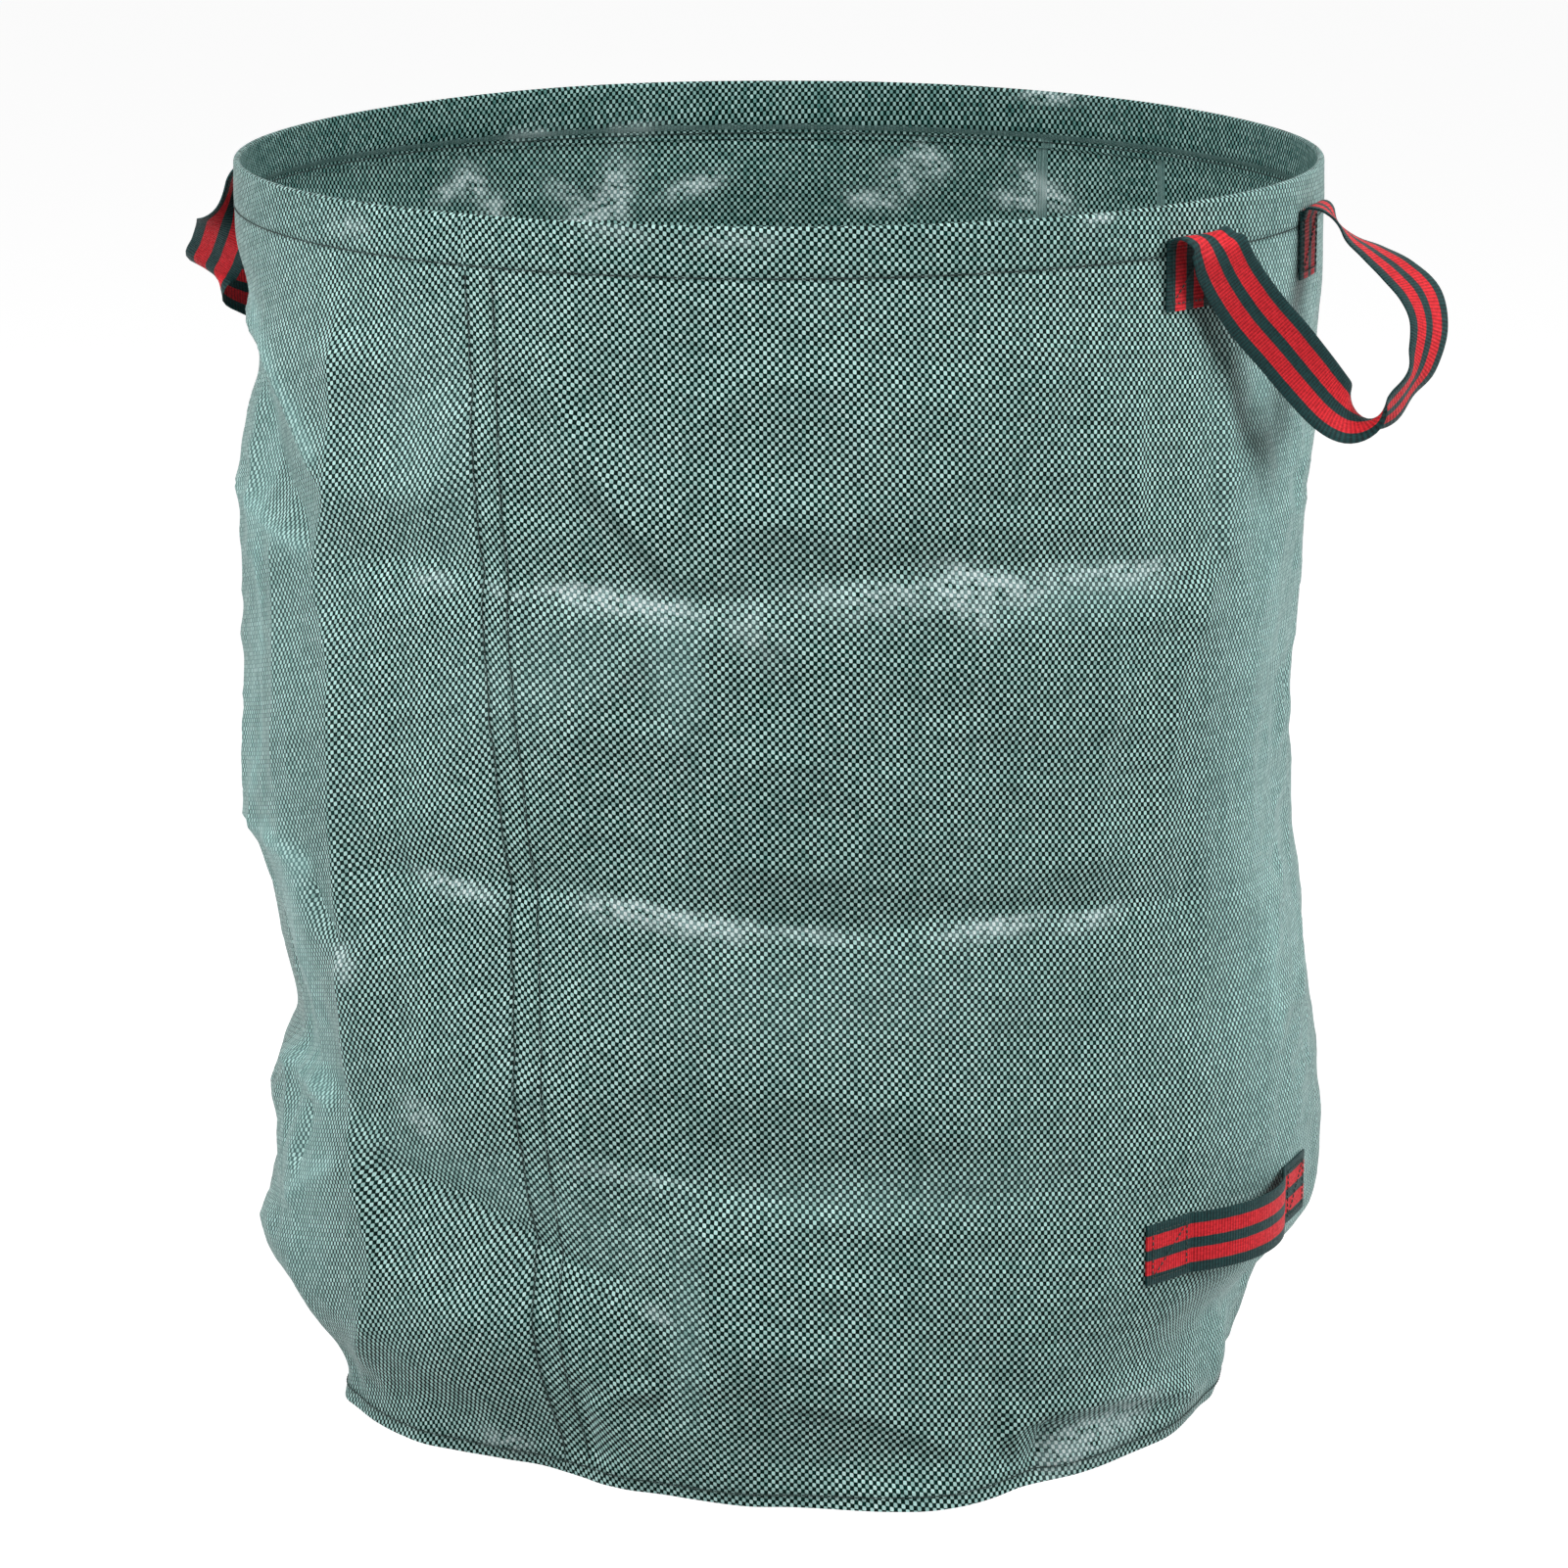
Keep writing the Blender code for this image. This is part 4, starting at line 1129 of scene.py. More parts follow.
@dataclass(frozen=True)
class Weave:
    """Where each tape of the cloth runs."""

    tape_pair: float = 0.00436
    row_pair: float = 0.00515
    right_skew: float = 0.26
    left_skew: float = -0.38
    skew_turn: float = 90.0

    def uv(self, azimuth: Array, level: Array, wall: Wall, right: Array) -> Array:
        """Tape counts at places on the wall.

        Args:
            azimuth: Degrees from the front, from the seam once round to the seam again.
            level: Heights in metres.
            wall: The wall.
            right: True on the sheet's edge right of the seam.

        Returns:
            Tapes across and up, in the last axis.
        """
        step = per_degree(wall.radius)
        on_right = (azimuth - wall.seam(level, -0.5)) % 360.0
        on_right = np.where(~right & (on_right < 180.0), on_right + 360.0, on_right)
        on_right = np.where(right & (on_right > 180.0), on_right - 360.0, on_right)
        arc, full, reach = on_right * step, 360.0 * step, self.skew_turn * step
        slope_right = self.right_skew * reach * (1.0 - np.exp(-np.maximum(arc, 0.0) / reach))
        slope_left = self.left_skew * reach * (1.0 - np.exp(-np.maximum(full - arc, 0.0) / reach))
        u = azimuth * step / self.tape_pair
        v = (level + slope_right - slope_left) / self.row_pair
        return np.stack([u, v], axis=-1)

    def once_round(self, azimuth: Array, level: Array, wall: Wall) -> tuple[Array, Array]:
        """Tape counts on a sheet that runs round the bag from its seam, in rows.

        Args:
            azimuth: Degrees from the front.
            level: Heights in metres.
            wall: The wall.

        Returns:
            The counts where faces start, and where they end, which is a whole turn on at each row's end.
        """
        right = np.zeros(azimuth.shape, bool)
        right[:, : azimuth.shape[1] // 2] = True
        before = self.uv(azimuth, level, wall, right)
        right[:, 0] = False
        after = self.uv(azimuth, level, wall, right)
        after[:, 0, 0] += 360.0 * per_degree(wall.radius) / self.tape_pair
        return before, after


# ---------------------------------------------------------------- making meshes


def clear_selection() -> None:
    """Deselect everything, because an operator acts on all that is selected."""
    for thing in list(bpy.context.selected_objects):
        thing.select_set(False)
    bpy.context.view_layer.objects.active = None


def new_piece(
    name: str,
    corners: Array,
    faces: Array,
    material: Material,
    uv: Array,
    values: dict[str, Array] | None = None,
    normals: Array | None = None,
) -> Piece:
    """Make a piece from points and four-sided faces.

    Args:
        name: The piece's name.
        corners: Its points.
        faces: Four corner numbers for each face.
        material: Its finish.
        uv: A place in the weave for each corner of each face.
        values: Numbers that the points hold, by name.
        normals: The direction that each point faces, where it isn't left to the faces.

    Returns:
        The piece's object.
    """
    mesh = bpy.data.meshes.new(name)
    mesh.from_pydata(corners.tolist(), [], faces.tolist())
    mesh.materials.append(material)
    layer = mesh.uv_layers.new(name=WEAVE_MAP)
    layer.data.foreach_set("uv", uv.reshape(-1).astype(np.float32))
    for key, numbers in (values or {}).items():
        held = mesh.attributes.new(key, "FLOAT", "POINT")
        held.data.foreach_set("value", numbers.astype(np.float32))
    mesh.shade_smooth()
    if normals is not None:
        mesh.normals_split_custom_set_from_vertices(normals.tolist())
    piece = bpy.data.objects.new(name, mesh)
    bpy.context.scene.collection.objects.link(piece)
    return piece


def place_piece(piece: Piece, body: Body, slot: Slot, *nodes: str) -> None:
    """Put a piece on its body, in place of model nodes.

    Args:
        piece: The piece.
        body: The body that it rides on.
        slot: Its material slot; not used.
        nodes: The nodes that it stands for.
    """
    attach(piece, body.value)
    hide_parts(*nodes)
    LOG.info("%s: %d faces on %s", piece.name, len(piece.data.polygons), body.value)


def ring_faces(rows: int, columns: int, closed: bool) -> Array:
    """Corner numbers of the faces of a grid of points.

    Args:
        rows: How many rows of points.
        columns: How many points in a row.
        closed: Whether each row's end joins its start.

    Returns:
        Four corner numbers for each face.
    """
    column = np.arange(columns if closed else columns - 1)
    row = np.arange(rows - 1)[:, None]
    after = (column + 1) % columns
    low, high = row * columns, (row + 1) * columns
    return np.stack(np.broadcast_arrays(low + column, low + after, high + after, high + column), -1).reshape(-1, 4)


def grid_normals(points: Array, closed: bool) -> Array:
    """Directions that a grid of points faces.

    Args:
        points: Points in rows.
        closed: Whether each row's end joins its start.

    Returns:
        A unit vector for each point.
    """
    if closed:
        across = np.roll(points, -1, axis=1) - np.roll(points, 1, axis=1)
    else:
        across = np.gradient(points, axis=1)
    normal = np.cross(across, np.gradient(points, axis=0))
    return normal / np.maximum(np.linalg.norm(normal, axis=-1, keepdims=True), 1e-12)


def run_along(path: Array) -> Array:
    """How far along a path each of its points is."""
    return np.concatenate([[0.0], np.cumsum(np.linalg.norm(np.diff(path, axis=0), axis=1))])


def read_along(at: Array, run: Array, path: Array) -> Array:
    """Points or directions between those of a path, at places along it."""
    return np.stack([np.interp(at, run, path[:, axis]) for axis in range(3)], -1)


def box_run(left: float, right: float, low: float, high: float, steps: int = 8) -> Array:
    """Places along a box of stitches: once round it, then from corner to corner.

    Args:
        left: The first place across.
        right: The last place across.
        low: The lower height.
        high: The upper height.
        steps: How many places on each side.

    Returns:
        A place across and a height for each.
    """
    corners = np.array([(left, low), (right, low), (right, high), (left, high), (left, low), (right, high)])
    shares = np.linspace(0.0, 1.0, steps)[:, None]
    return np.concatenate([start + (end - start) * shares for start, end in zip(corners, corners[1:])])


@dataclass
class Cloth:
    """A thin sheet with two faces, made from a grid of points on its outside."""

    name: str
    points: Array
    normals: Array
    uv: Array
    thickness: float
    closed: bool = True
    values: dict[str, Array] = field(default_factory=dict)
    uv_after: Array | None = None

    def build(self, material: Material) -> Piece:
        """Make the sheet, whose points hold 1 as their inner value, for painted shade, on its inner face.

        Args:
            material: Its finish.

        Returns:
            The piece's object.
        """
        rows, columns = self.points.shape[:2]
        count = rows * columns
        outer = self.points.reshape(-1, 3)
        facing = self.normals.reshape(-1, 3)
        sheet = ring_faces(rows, columns, self.closed)
        faces = [sheet, sheet[:, ::-1] + count]
        before = self.uv.reshape(-1, 2)
        after = before if self.uv_after is None else self.uv_after.reshape(-1, 2)
        corner_uv = np.stack([before[sheet[:, 0]], after[sheet[:, 1]], after[sheet[:, 2]], before[sheet[:, 3]]], 1)
        uvs = [corner_uv, corner_uv[:, ::-1]]
        for start, end in self.borders(rows, columns):
            faces.append(np.stack([end, start, start + count, end + count], 1))
            uvs.append(np.stack([before[end], before[start], before[start], before[end]], 1))
        values = {key: np.tile(value.reshape(-1), 2) for key, value in self.values.items()}
        values["inner"] = np.concatenate([values.get("inner", np.zeros(count))[:count], np.ones(count)])
        corners = np.concatenate([outer, outer - facing * self.thickness])
        normals = np.concatenate([facing, -facing])
        return new_piece(self.name, corners, np.concatenate(faces), material, np.concatenate(uvs), values, normals)

    def borders(self, rows: int, columns: int) -> list[tuple[Array, Array]]:
        """The pairs of points along the sheet's open edges, each way round.

        Args:
            rows: How many rows of points.
            columns: How many points in a row.

        Returns:
            Starts and ends of each edge.
        """
        column = np.arange(columns if self.closed else columns - 1)
        after = (column + 1) % columns
        last = (rows - 1) * columns
        found = [(column, after), (after + last, column + last)]
        if not self.closed:
            row = np.arange(rows - 1) * columns
            found += [(row + columns, row), (row + columns - 1, row + 2 * columns - 1)]
        return found


def smooth_path(places: Array, steps: int) -> Array:
    """A smooth run through places.

    Args:
        places: The places.
        steps: Steps between each two of them.

    Returns:
        The run's points.
    """
    run = []
    last = len(places) - 1
    for index in range(last):
        before, start = places[max(index - 1, 0)], places[index]
        end, after = places[index + 1], places[min(index + 2, last)]
        for step in range(steps):
            t = step / steps
            run.append(
                0.5 * (2 * start + (end - before) * t + (2 * before - 5 * start + 4 * end - after) * t * t
                       + (3 * start - before - 3 * end + after) * t ** 3)
            )
    run.append(places[-1])
    return np.array(run)


@dataclass
class Strap:
    """A flat strap of webbing, whose two edges are round."""

    width: float = 0.038
    thickness: float = 0.0016
    columns: int = 12
    edge_steps: int = 2
    sharp_angle: float = 60.0

    def section(self) -> tuple[Array, Array]:
        """Offsets across and through the strap, round its edge."""
        half = self.thickness / 2
        flat = np.linspace(-self.width / 2 + half, self.width / 2 - half, self.columns + 1)
        turn = np.linspace(-90.0, 90.0, self.edge_steps + 2)[1:-1]
        edge_x = self.width / 2 - half + half * np.cos(np.radians(turn))
        edge_y = half * np.sin(np.radians(turn))
        across = np.concatenate([flat, edge_x, flat[::-1], -edge_x])
        through = np.concatenate([np.full(len(flat), -half), edge_y, np.full(len(flat), half), -edge_y])
        return across, through

    def build(self, name: str, path: Array, across: Array, material: Material) -> Piece:
        """Make the strap along a path.

        Args:
            name: The piece's name.
            path: Points along its middle.
            across: Directions across it, one for each point.
            material: Its finish.

        Returns:
            The piece's object.
        """
        across = unit(across)
        normal = unit(np.cross(across, unit(np.gradient(path, axis=0))))
        wide, deep = self.section()
        points = (
            path[:, None, :] + across[:, None, :] * wide[None, :, None] + normal[:, None, :] * deep[None, :, None]
        )
        return self.close(name, points, run_along(path), material)

    def close(
        self, name: str, points: Array, run: Array, material: Material, turned: bool = False
    ) -> Piece:
        """Make a piece of rows of points, each once round the strap.

        Args:
            name: The piece's name.
            points: The points, in rows.
            run: How far along the strap each row is.
            material: Its finish.
            turned: Whether the rows go round the other way.

        Returns:
            The piece's object.
        """
        wide, _ = self.section()
        uv = np.stack(np.broadcast_arrays(run[:, None], wide[None, :]), -1).reshape(-1, 2)
        rows, columns = points.shape[:2]
        faces = np.concatenate([ring_faces(rows, columns, True)[:, ::-1], self.caps(rows, columns)])
        if turned:
            faces = faces[:, ::-1]
        piece = new_piece(name, points.reshape(-1, 3), faces, material, uv[faces])
        piece.data.set_sharp_from_angle(angle=math.radians(self.sharp_angle))
        return piece

    def caps(self, rows: int, columns: int) -> Array:
        """Four-sided faces that close the strap's two ends.

        Args:
            rows: How many rows of points the strap has.
            columns: How many points are round it.

        Returns:
            Four corner numbers for each face.
        """
        flat = self.columns + 1
        faces = []
        for start, flip in ((0, False), ((rows - 1) * columns, True)):
            low = [start + k for k in range(flat)]
            high = [start + 2 * flat + self.edge_steps - 1 - k for k in range(flat)]
            right, left = start + flat, start + 2 * flat + self.edge_steps
            ring = [(low[k], low[k + 1], high[k + 1], high[k]) for k in range(self.columns)]
            ring += [(low[-1], right, right + 1, high[-1]), (high[0], left, left + 1, low[0])]
            faces += [face[::-1] if flip else face for face in ring]
        return np.array(faces)


# One stitch: how far along it, and its height and girth there as shares of the thread's radius
STITCH_STATIONS = ((-0.5, -0.9, 0.55), (-0.34, 0.35, 0.95), (0.0, 0.8, 1.0), (0.34, 0.35, 0.95), (0.5, -0.9, 0.55))


@dataclass
class Stitching:
    """A row of separate six-sided stitches along a path."""

    length: float = 0.0039
    pitch: float = 0.0044
    radius: float = 0.00042
    sides: int = 6

    def row(self, path: Array, facing: Array) -> tuple[Array, Array, Array]:
        """Points, faces and places in the weave of one row.

        Args:
            path: Points along the row, on the cloth.
            facing: The direction out of the cloth, one for each point.

        Returns:
            Points, faces, and a place in the weave for each corner.
        """
        run = run_along(path)
        count = max(int(run[-1] / self.pitch), 1)
        stations, depth, girth = np.array(STITCH_STATIONS).T
        middles = (np.arange(count) + 0.5) * (run[-1] / count)
        at = middles[:, None] + stations[None, :] * self.length
        out = unit(read_along(at, run, facing))
        spots = read_along(at, run, path) + out * (depth * self.radius)[None, :, None]
        side = np.cross(unit(np.gradient(spots, axis=1)), out)
        turn = np.arange(self.sides) / self.sides * math.tau
        ring = (
            side[:, :, None, :] * np.cos(turn)[None, None, :, None]
            + out[:, :, None, :] * np.sin(turn)[None, None, :, None]
        )
        points = spots[:, :, None, :] + ring * (girth * self.radius)[None, :, None, None]
        per = len(stations) * self.sides
        last = per - self.sides
        caps = [(0, 1, 2, 3), (0, 3, 4, 5), (last + 3, last + 2, last + 1, last), (last + 5, last + 4, last + 3, last)]
        one = np.concatenate([ring_faces(len(stations), self.sides, True)[:, ::-1], np.array(caps)])
        faces = (np.arange(count)[:, None, None] * per + one[None]).reshape(-1, 4)
        place = np.stack(np.broadcast_arrays(at[:, :, None], (turn / math.tau)[None, None, :]), -1).reshape(-1, 2)
        return points.reshape(-1, 3), faces, place[faces]

    def build(
        self, name: str, rows: list[tuple[Array, Array]], material: Material
    ) -> Piece:
        """Make a piece of one or more rows.

        Args:
            name: The piece's name.
            rows: A path and its directions out of the cloth, for each row.
            material: The thread's finish.

        Returns:
            The piece's object.
        """
        points, faces, places, held = [], [], [], 0
        for path, facing in rows:
            spots, quads, uv = self.row(path, facing)
            points.append(spots)
            faces.append(quads + held)
            places.append(uv)
            held += len(spots)
        return new_piece(name, np.concatenate(points), np.concatenate(faces), material, np.concatenate(places))


# ---------------------------------------------------------------- the bag's parts


@dataclass
class WallCloth:
    """The wall's sheet, in two pieces: its foot, and the rest above it."""

    wall: Wall
    weave: Weave
    finishes: Finishes
    split: float = 0.196
    travel: float = 0.44
    front_step: float = 0.72
    back_step: float = 1.30
    right_turn: float = 100.0
    back_turn: float = 252.0
    lean_turn: float = 16.0
    foot_step: float = 0.0038
    row_step: float = 0.0044
    tuck_in: float = 0.0008
    groove_shade_reach: float = 0.0013
    # The floor's row of thread: its height, and how far the painted groove shade reaches from it
    floor_row: tuple[float, float] = (0.0078, 0.0025)
    lap_ends: tuple[float, float] = (0.012, 0.7060)
    lap_margin: float = 0.003
    lap_gap: float = 0.0009
    lap_step: float = 0.006

    def azimuths(self, level: Array) -> Array:
        """Azimuths of the grid's columns, the first of which follows the seam.

        Args:
            level: The grid's heights.

        Returns:
            The azimuths, in rows.
        """
        middle = float(self.wall.seam(self.wall.height / 2, -0.5))
        right = np.arange(0.0, self.right_turn - middle, self.front_step)
        back = np.arange(right[-1] + self.back_step, self.back_turn - middle, self.back_step)
        left = np.arange(back[-1] + self.front_step, 360.0 - self.front_step / 2, self.front_step)
        offsets = np.concatenate([right, back, left])
        near = np.exp(-((np.minimum(offsets, 360.0 - offsets) / self.lean_turn) ** 2))
        lean = self.wall.seam(level, -0.5) - middle
        return middle + offsets[None, :] + lean[:, None] * near[None, :]

    def levels(self) -> tuple[Array, int]:
        """The grid's heights, and the row where the two pieces meet."""
        low = np.linspace(0.0, self.split, int(round(self.split / self.foot_step)) + 1)
        high = np.linspace(self.split, self.wall.top, int(round((self.wall.top - self.split) / self.row_step)) + 1)
        return np.concatenate([low, high[1:], [self.wall.top + 0.0010]]), len(low) - 1

    def build(self) -> None:
        """Make both pieces of the wall, with the lap behind the seam."""
        levels, meet = self.levels()
        azimuth = self.azimuths(levels)
        level = np.repeat(levels[:, None], azimuth.shape[1], 1)
        points = self.wall.points(azimuth, level, -np.where(level > self.wall.top, self.tuck_in, 0.0))
        normals = grid_normals(points, True)
        before, after = self.weave.once_round(azimuth, level, self.wall)
        values = {
            "crush_and_highlight": self.wall.crush_and_highlight(azimuth, level),
            "painted_sheen": self.wall.painted_sheen(azimuth, level),
            "painted_groove_shade": self.groove_shade(azimuth, level),
        }
        for name, part in (("wall_cloth_foot", slice(0, meet + 1)), ("wall_cloth", slice(meet, None))):
            cloth = Cloth(
                name, points[part], normals[part], before[part], self.wall.fabric,
                values={key: value[part] for key, value in values.items()}, uv_after=after[part],
            )
            piece = cloth.build(self.finishes.woven)
            place_piece(piece, Body.BAG, Slot.WOVEN, "side_wall")
            if name == "wall_cloth":
                self.fold_down(piece)
        self.build_lap()

    def fold_down(self, piece: Piece) -> None:
        """Give a piece a mesh of its own."""
        keep = (self.wall.top - self.travel - self.split) / (self.wall.top - self.split)
        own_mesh(piece)

    def groove_shade(self, azimuth: Array, level: Array) -> Array:
        """How much shade is painted at each place: in the puckered grooves along the seam's and the floor's rows of
        thread, and along the painted crease shade, from 0 to 1.

        Args:
            azimuth: Degrees from the front.
            level: Heights in metres.

        Returns:
            The painted shade.
        """
        step = per_degree(self.wall.radius)
        sides = (wrapped(azimuth - self.wall.seam(level, side)) for side in (-0.5, 0.5))
        seam = np.max([np.exp(-((turn * step / self.groove_shade_reach) ** 2)) for turn in sides], axis=0)
        floor_level, floor_reach = self.floor_row
        # Painted shade in the puckered grooves along the seam and the floor's row of thread
        rows = np.maximum(seam, np.exp(-(((level - floor_level) / floor_reach) ** 2))) * 0.55
        return np.maximum(rows, self.wall.total(PAINTED_CREASE_SHADE, azimuth, level))

    def build_lap(self) -> None:
        """Make the sheet's other edge, which lies behind the seam."""
        half = math.degrees((self.wall.seam_width / 2 + self.lap_margin) / self.wall.radius)
        foot, top = self.lap_ends
        for name, low, high in (("seam_lap_foot", foot, self.split), ("seam_lap_cloth", self.split, top)):
            levels = np.linspace(low, high, max(int((high - low) / self.lap_step), 2))
            shares = np.linspace(-1.0, 1.0, 7)
            azimuth = self.wall.seam(levels)[:, None] + shares[None, :] * half
            level = np.repeat(levels[:, None], len(shares), 1)
            points = self.wall.points(azimuth, level, -self.wall.fabric - self.lap_gap)
            uv = self.weave.uv(azimuth, level, self.wall, np.zeros(azimuth.shape, bool))
            cloth = Cloth(name, points, grid_normals(points, False), uv, self.wall.fabric, closed=False)
            piece = cloth.build(self.finishes.woven)
            place_piece(piece, Body.BAG, Slot.LAP, "seam_lap")
            wide = self.wall.seam_width + 2 * self.lap_margin
            high - low
            if name == "seam_lap_cloth":
                self.fold_down(piece)


@dataclass
class SeamThreads:
    """The rows of thread down the wall's seam and round the floor."""

    wall: Wall
    cloth: WallCloth
    finishes: Finishes
    foot: float = 0.013
    top: float = 0.7265
    step: float = 0.002
    proud: float = 0.0002
    stitching: Stitching = field(default_factory=Stitching)

    def rows(self, low: float, high: float) -> list[tuple[Array, Array]]:
        """The two rows of the seam between two heights.

        Args:
            low: The lower height.
            high: The upper height.

        Returns:
            A path and its directions out, for each row.
        """
        levels = np.linspace(low, high, int((high - low) / self.step) + 2)
        azimuths = [self.wall.seam(levels, side) for side in (-0.5, 0.5)]
        return [(self.wall.points(azimuth, levels, self.proud), outward(azimuth)) for azimuth in azimuths]

    def build(self) -> None:
        """Make the threads of the seam and of the floor."""
        split = self.cloth.split
        for name, low, high in (("seam_threads_foot", self.foot, split), ("seam_threads", split, self.top)):
            threads = self.stitching.build(name, self.rows(low, high), self.finishes.thread)
            place_piece(threads, Body.BAG, Slot.THREAD, "seam_stitching_left", "seam_stitching_right")
            if name == "seam_threads":
                self.cloth.fold_down(threads)
        azimuth = np.linspace(0.0, 360.0, ROUND_STEPS)
        floor = self.wall.points(azimuth, self.cloth.floor_row[0], self.proud)
        ring = self.stitching.build("floor_threads", [(floor, outward(azimuth))], self.finishes.thread)
        place_piece(ring, Body.BAG, Slot.THREAD, "base_stitching")


@dataclass
class BaseCloth:
    """The base: a disc of the same cloth, whose edge turns up inside the wall."""

    wall: Wall
    weave: Weave
    finishes: Finishes
    turn_up: float = 0.010
    inset: float = 0.0016
    under: float = 0.0008
    lift: float = 0.0012
    rings: tuple[float, ...] = (0.02, 0.14, 0.30, 0.48, 0.66, 0.82, 0.94)
    rim_share: float = 0.985
    edge_levels: tuple[float, ...] = (0.0009, 0.0035, 0.0068)
    flat_width: float = 0.66

    def build(self) -> None:
        """Make the base."""
        azimuth = np.arange(0.0, 360.0, 1.5)
        edge = self.wall.points(azimuth, 0.0004, -self.inset)
        swell = SoftNoise(12, 9, 0.1)
        rows = []
        for share in self.rings:
            ring = edge * share
            lift = self.lift * (1.0 - share) * (1.0 + swell(azimuth, np.full(azimuth.shape, share)))
            ring[:, 2] = self.under + lift * share
            rows.append(ring)
        rim = edge * self.rim_share
        rim[:, 2] = self.under
        rows.append(rim)
        rows += [self.wall.points(azimuth, level, -self.inset) for level in (*self.edge_levels, self.turn_up)]
        points = np.array(rows)
        normals = -grid_normals(points, True)
        uv = np.stack([points[..., 0] / self.weave.tape_pair, points[..., 1] / self.weave.row_pair], -1)
        values = {key: np.zeros(points.shape[:2]) for key in ("crush_and_highlight", "painted_sheen", "painted_groove_shade")}
        cloth = Cloth("base_cloth", points[:, ::-1], normals[:, ::-1], uv[:, ::-1], -self.wall.fabric, values=values)
        piece = cloth.build(self.finishes.base)
        place_piece(piece, Body.BAG, Slot.BASE, "base_panel", "base_edge")


@dataclass
class RimHem:
    """The hem: the wall's top, turned in over the hoop, with the thread that closes it."""

    wall: Wall
    weave: Weave
    finishes: Finishes
    pocket: float = 0.0045
    stitch_level: float = 0.73095
    tail: float = 0.72475
    cut_width: float = 0.0725
    columns: int = 480
    unevenness: float = 0.0006
    back_rise: float = 0.0042
    back_turns: tuple[float, float] = (105.0, 65.0)
    free_level: float = 0.7287
    free_fade: float = 0.02
    broad_wave: float = 0.0005
    ripple: float = 0.00012
    groove_shade_reach: float = 0.0012
    groove_shade_share: float = 0.48

    def wave(self, azimuth: Array) -> Array:
        """How far the rim's top edge rises and falls.

        Args:
            azimuth: Degrees from the front.

        Returns:
            Metres.
        """
        back = np.abs(wrapped(azimuth))
        start, fade = self.back_turns
        uneven = self.unevenness * SoftNoise(21, 14, 1.0)(azimuth, azimuth * 0)
        return uneven + self.back_rise * eased((back - start) / fade)

    def profile(self) -> list[tuple[float, float]]:
        """Offsets from the bag's radius and heights: up the outside, over, and down the inside."""
        fold = self.pocket / 2
        crown = self.wall.height - fold
        found = [(-0.0002, 0.72865), (0.0, 0.7297), (-0.0005, self.stitch_level), (0.0001, 0.7322), (0.0003, 0.7350)]
        found += [(0.0003, 0.7400), (0.0002, 0.7460), (0.0001, 0.7520), (0.0, crown)]
        for step in range(1, 8):
            turn = math.pi * step / 8
            found.append((-fold + fold * math.cos(turn), crown + fold * math.sin(turn)))
        inner = -self.pocket
        found += [(inner, crown), (inner, 0.7500), (inner, 0.7430), (inner, 0.7375), (inner + 0.0008, 0.7340)]
        found += [(-0.0017, self.stitch_level), (-0.0021, 0.7285), (-0.0019, self.tail)]
        return found

    def build(self) -> None:
        """Make the hem and its row of thread."""
        azimuth = np.arange(self.columns) * (360.0 / self.columns) + float(self.wall.seam(0.745, -0.5))
        ripple = SoftNoise(22, 60, 1.0)(azimuth, azimuth * 0) * self.ripple
        broad = SoftNoise(23, 17, 1.0)(azimuth, azimuth * 0) * self.broad_wave
        wave = self.wave(azimuth)
        rows, heights = [], []
        for offset, level in self.profile():
            share = eased(np.array((level - self.free_level) / self.free_fade))
            radius = self.wall.radius + offset + share * broad + (1.0 - share) * ripple
            rows.append(ring_at(azimuth, radius, level + wave * share))
            heights.append(level if offset > -self.pocket / 2 else 2 * self.wall.height - level)
        points = np.array(rows)
        spread = np.repeat(azimuth[None, :], len(rows), 0)
        unfolded = np.repeat(np.array(heights)[:, None], self.columns, 1)
        before, after = self.weave.once_round(spread, unfolded, self.wall)
        folded = np.repeat(np.array([level for _, level in self.profile()])[:, None], self.columns, 1)
        turned_in = eased((np.arange(len(rows)) - 9.0) / 6.0)
        values = {
            "crush_and_highlight": self.wall.crush_and_highlight(spread, folded),
            "painted_sheen": self.wall.painted_sheen(spread, folded) * 0.6,
            # Painted shade in the puckered groove along the hem's row of thread
            "painted_groove_shade": self.groove_shade_share * np.exp(-(((folded - self.stitch_level) / self.groove_shade_reach) ** 2)),
            # Darker tape: a little on the hem's outside, and painted shade on its turned-in inside
            "inner": np.repeat(turned_in[:, None] * 0.85 + 0.30, self.columns, 1),
        }
        cloth = Cloth(
            "rim_hem_cloth", points, grid_normals(points, True), before, self.wall.fabric,
            values=values, uv_after=after,
        )
        piece = cloth.build(self.finishes.woven)
        place_piece(piece, Body.RIM, Slot.WOVEN, "rim_hem")
        self.build_threads()

    def build_threads(self) -> None:
        """Make the row of thread, which shows outside and inside."""
        around = np.linspace(0.0, 360.0, ROUND_STEPS)
        outside = ring_at(around, self.wall.radius - 0.0001, self.stitch_level)
        inside = ring_at(around, self.wall.radius - 0.0026, self.stitch_level - 0.0020)
        rows = [(outside, outward(around)), (inside, -outward(around))]
        place_piece(
            Stitching().build("hem_threads", rows, self.finishes.thread), Body.RIM, Slot.THREAD, "hem_stitching"
        )


@dataclass
class SewnEnd:
    """What every handle's sewn ends share: their strap, and the box of stitches that holds them."""

    strap: Strap = field(default_factory=Strap)
    stitching: Stitching = field(default_factory=lambda: Stitching(length=0.0028, pitch=0.0036))
    inset: float = 0.0045
    proud: float = 0.0001

    @property
    def reach(self) -> float:
        """How far from the strap's middle the box's long sides run."""
        return self.strap.width / 2 - self.inset


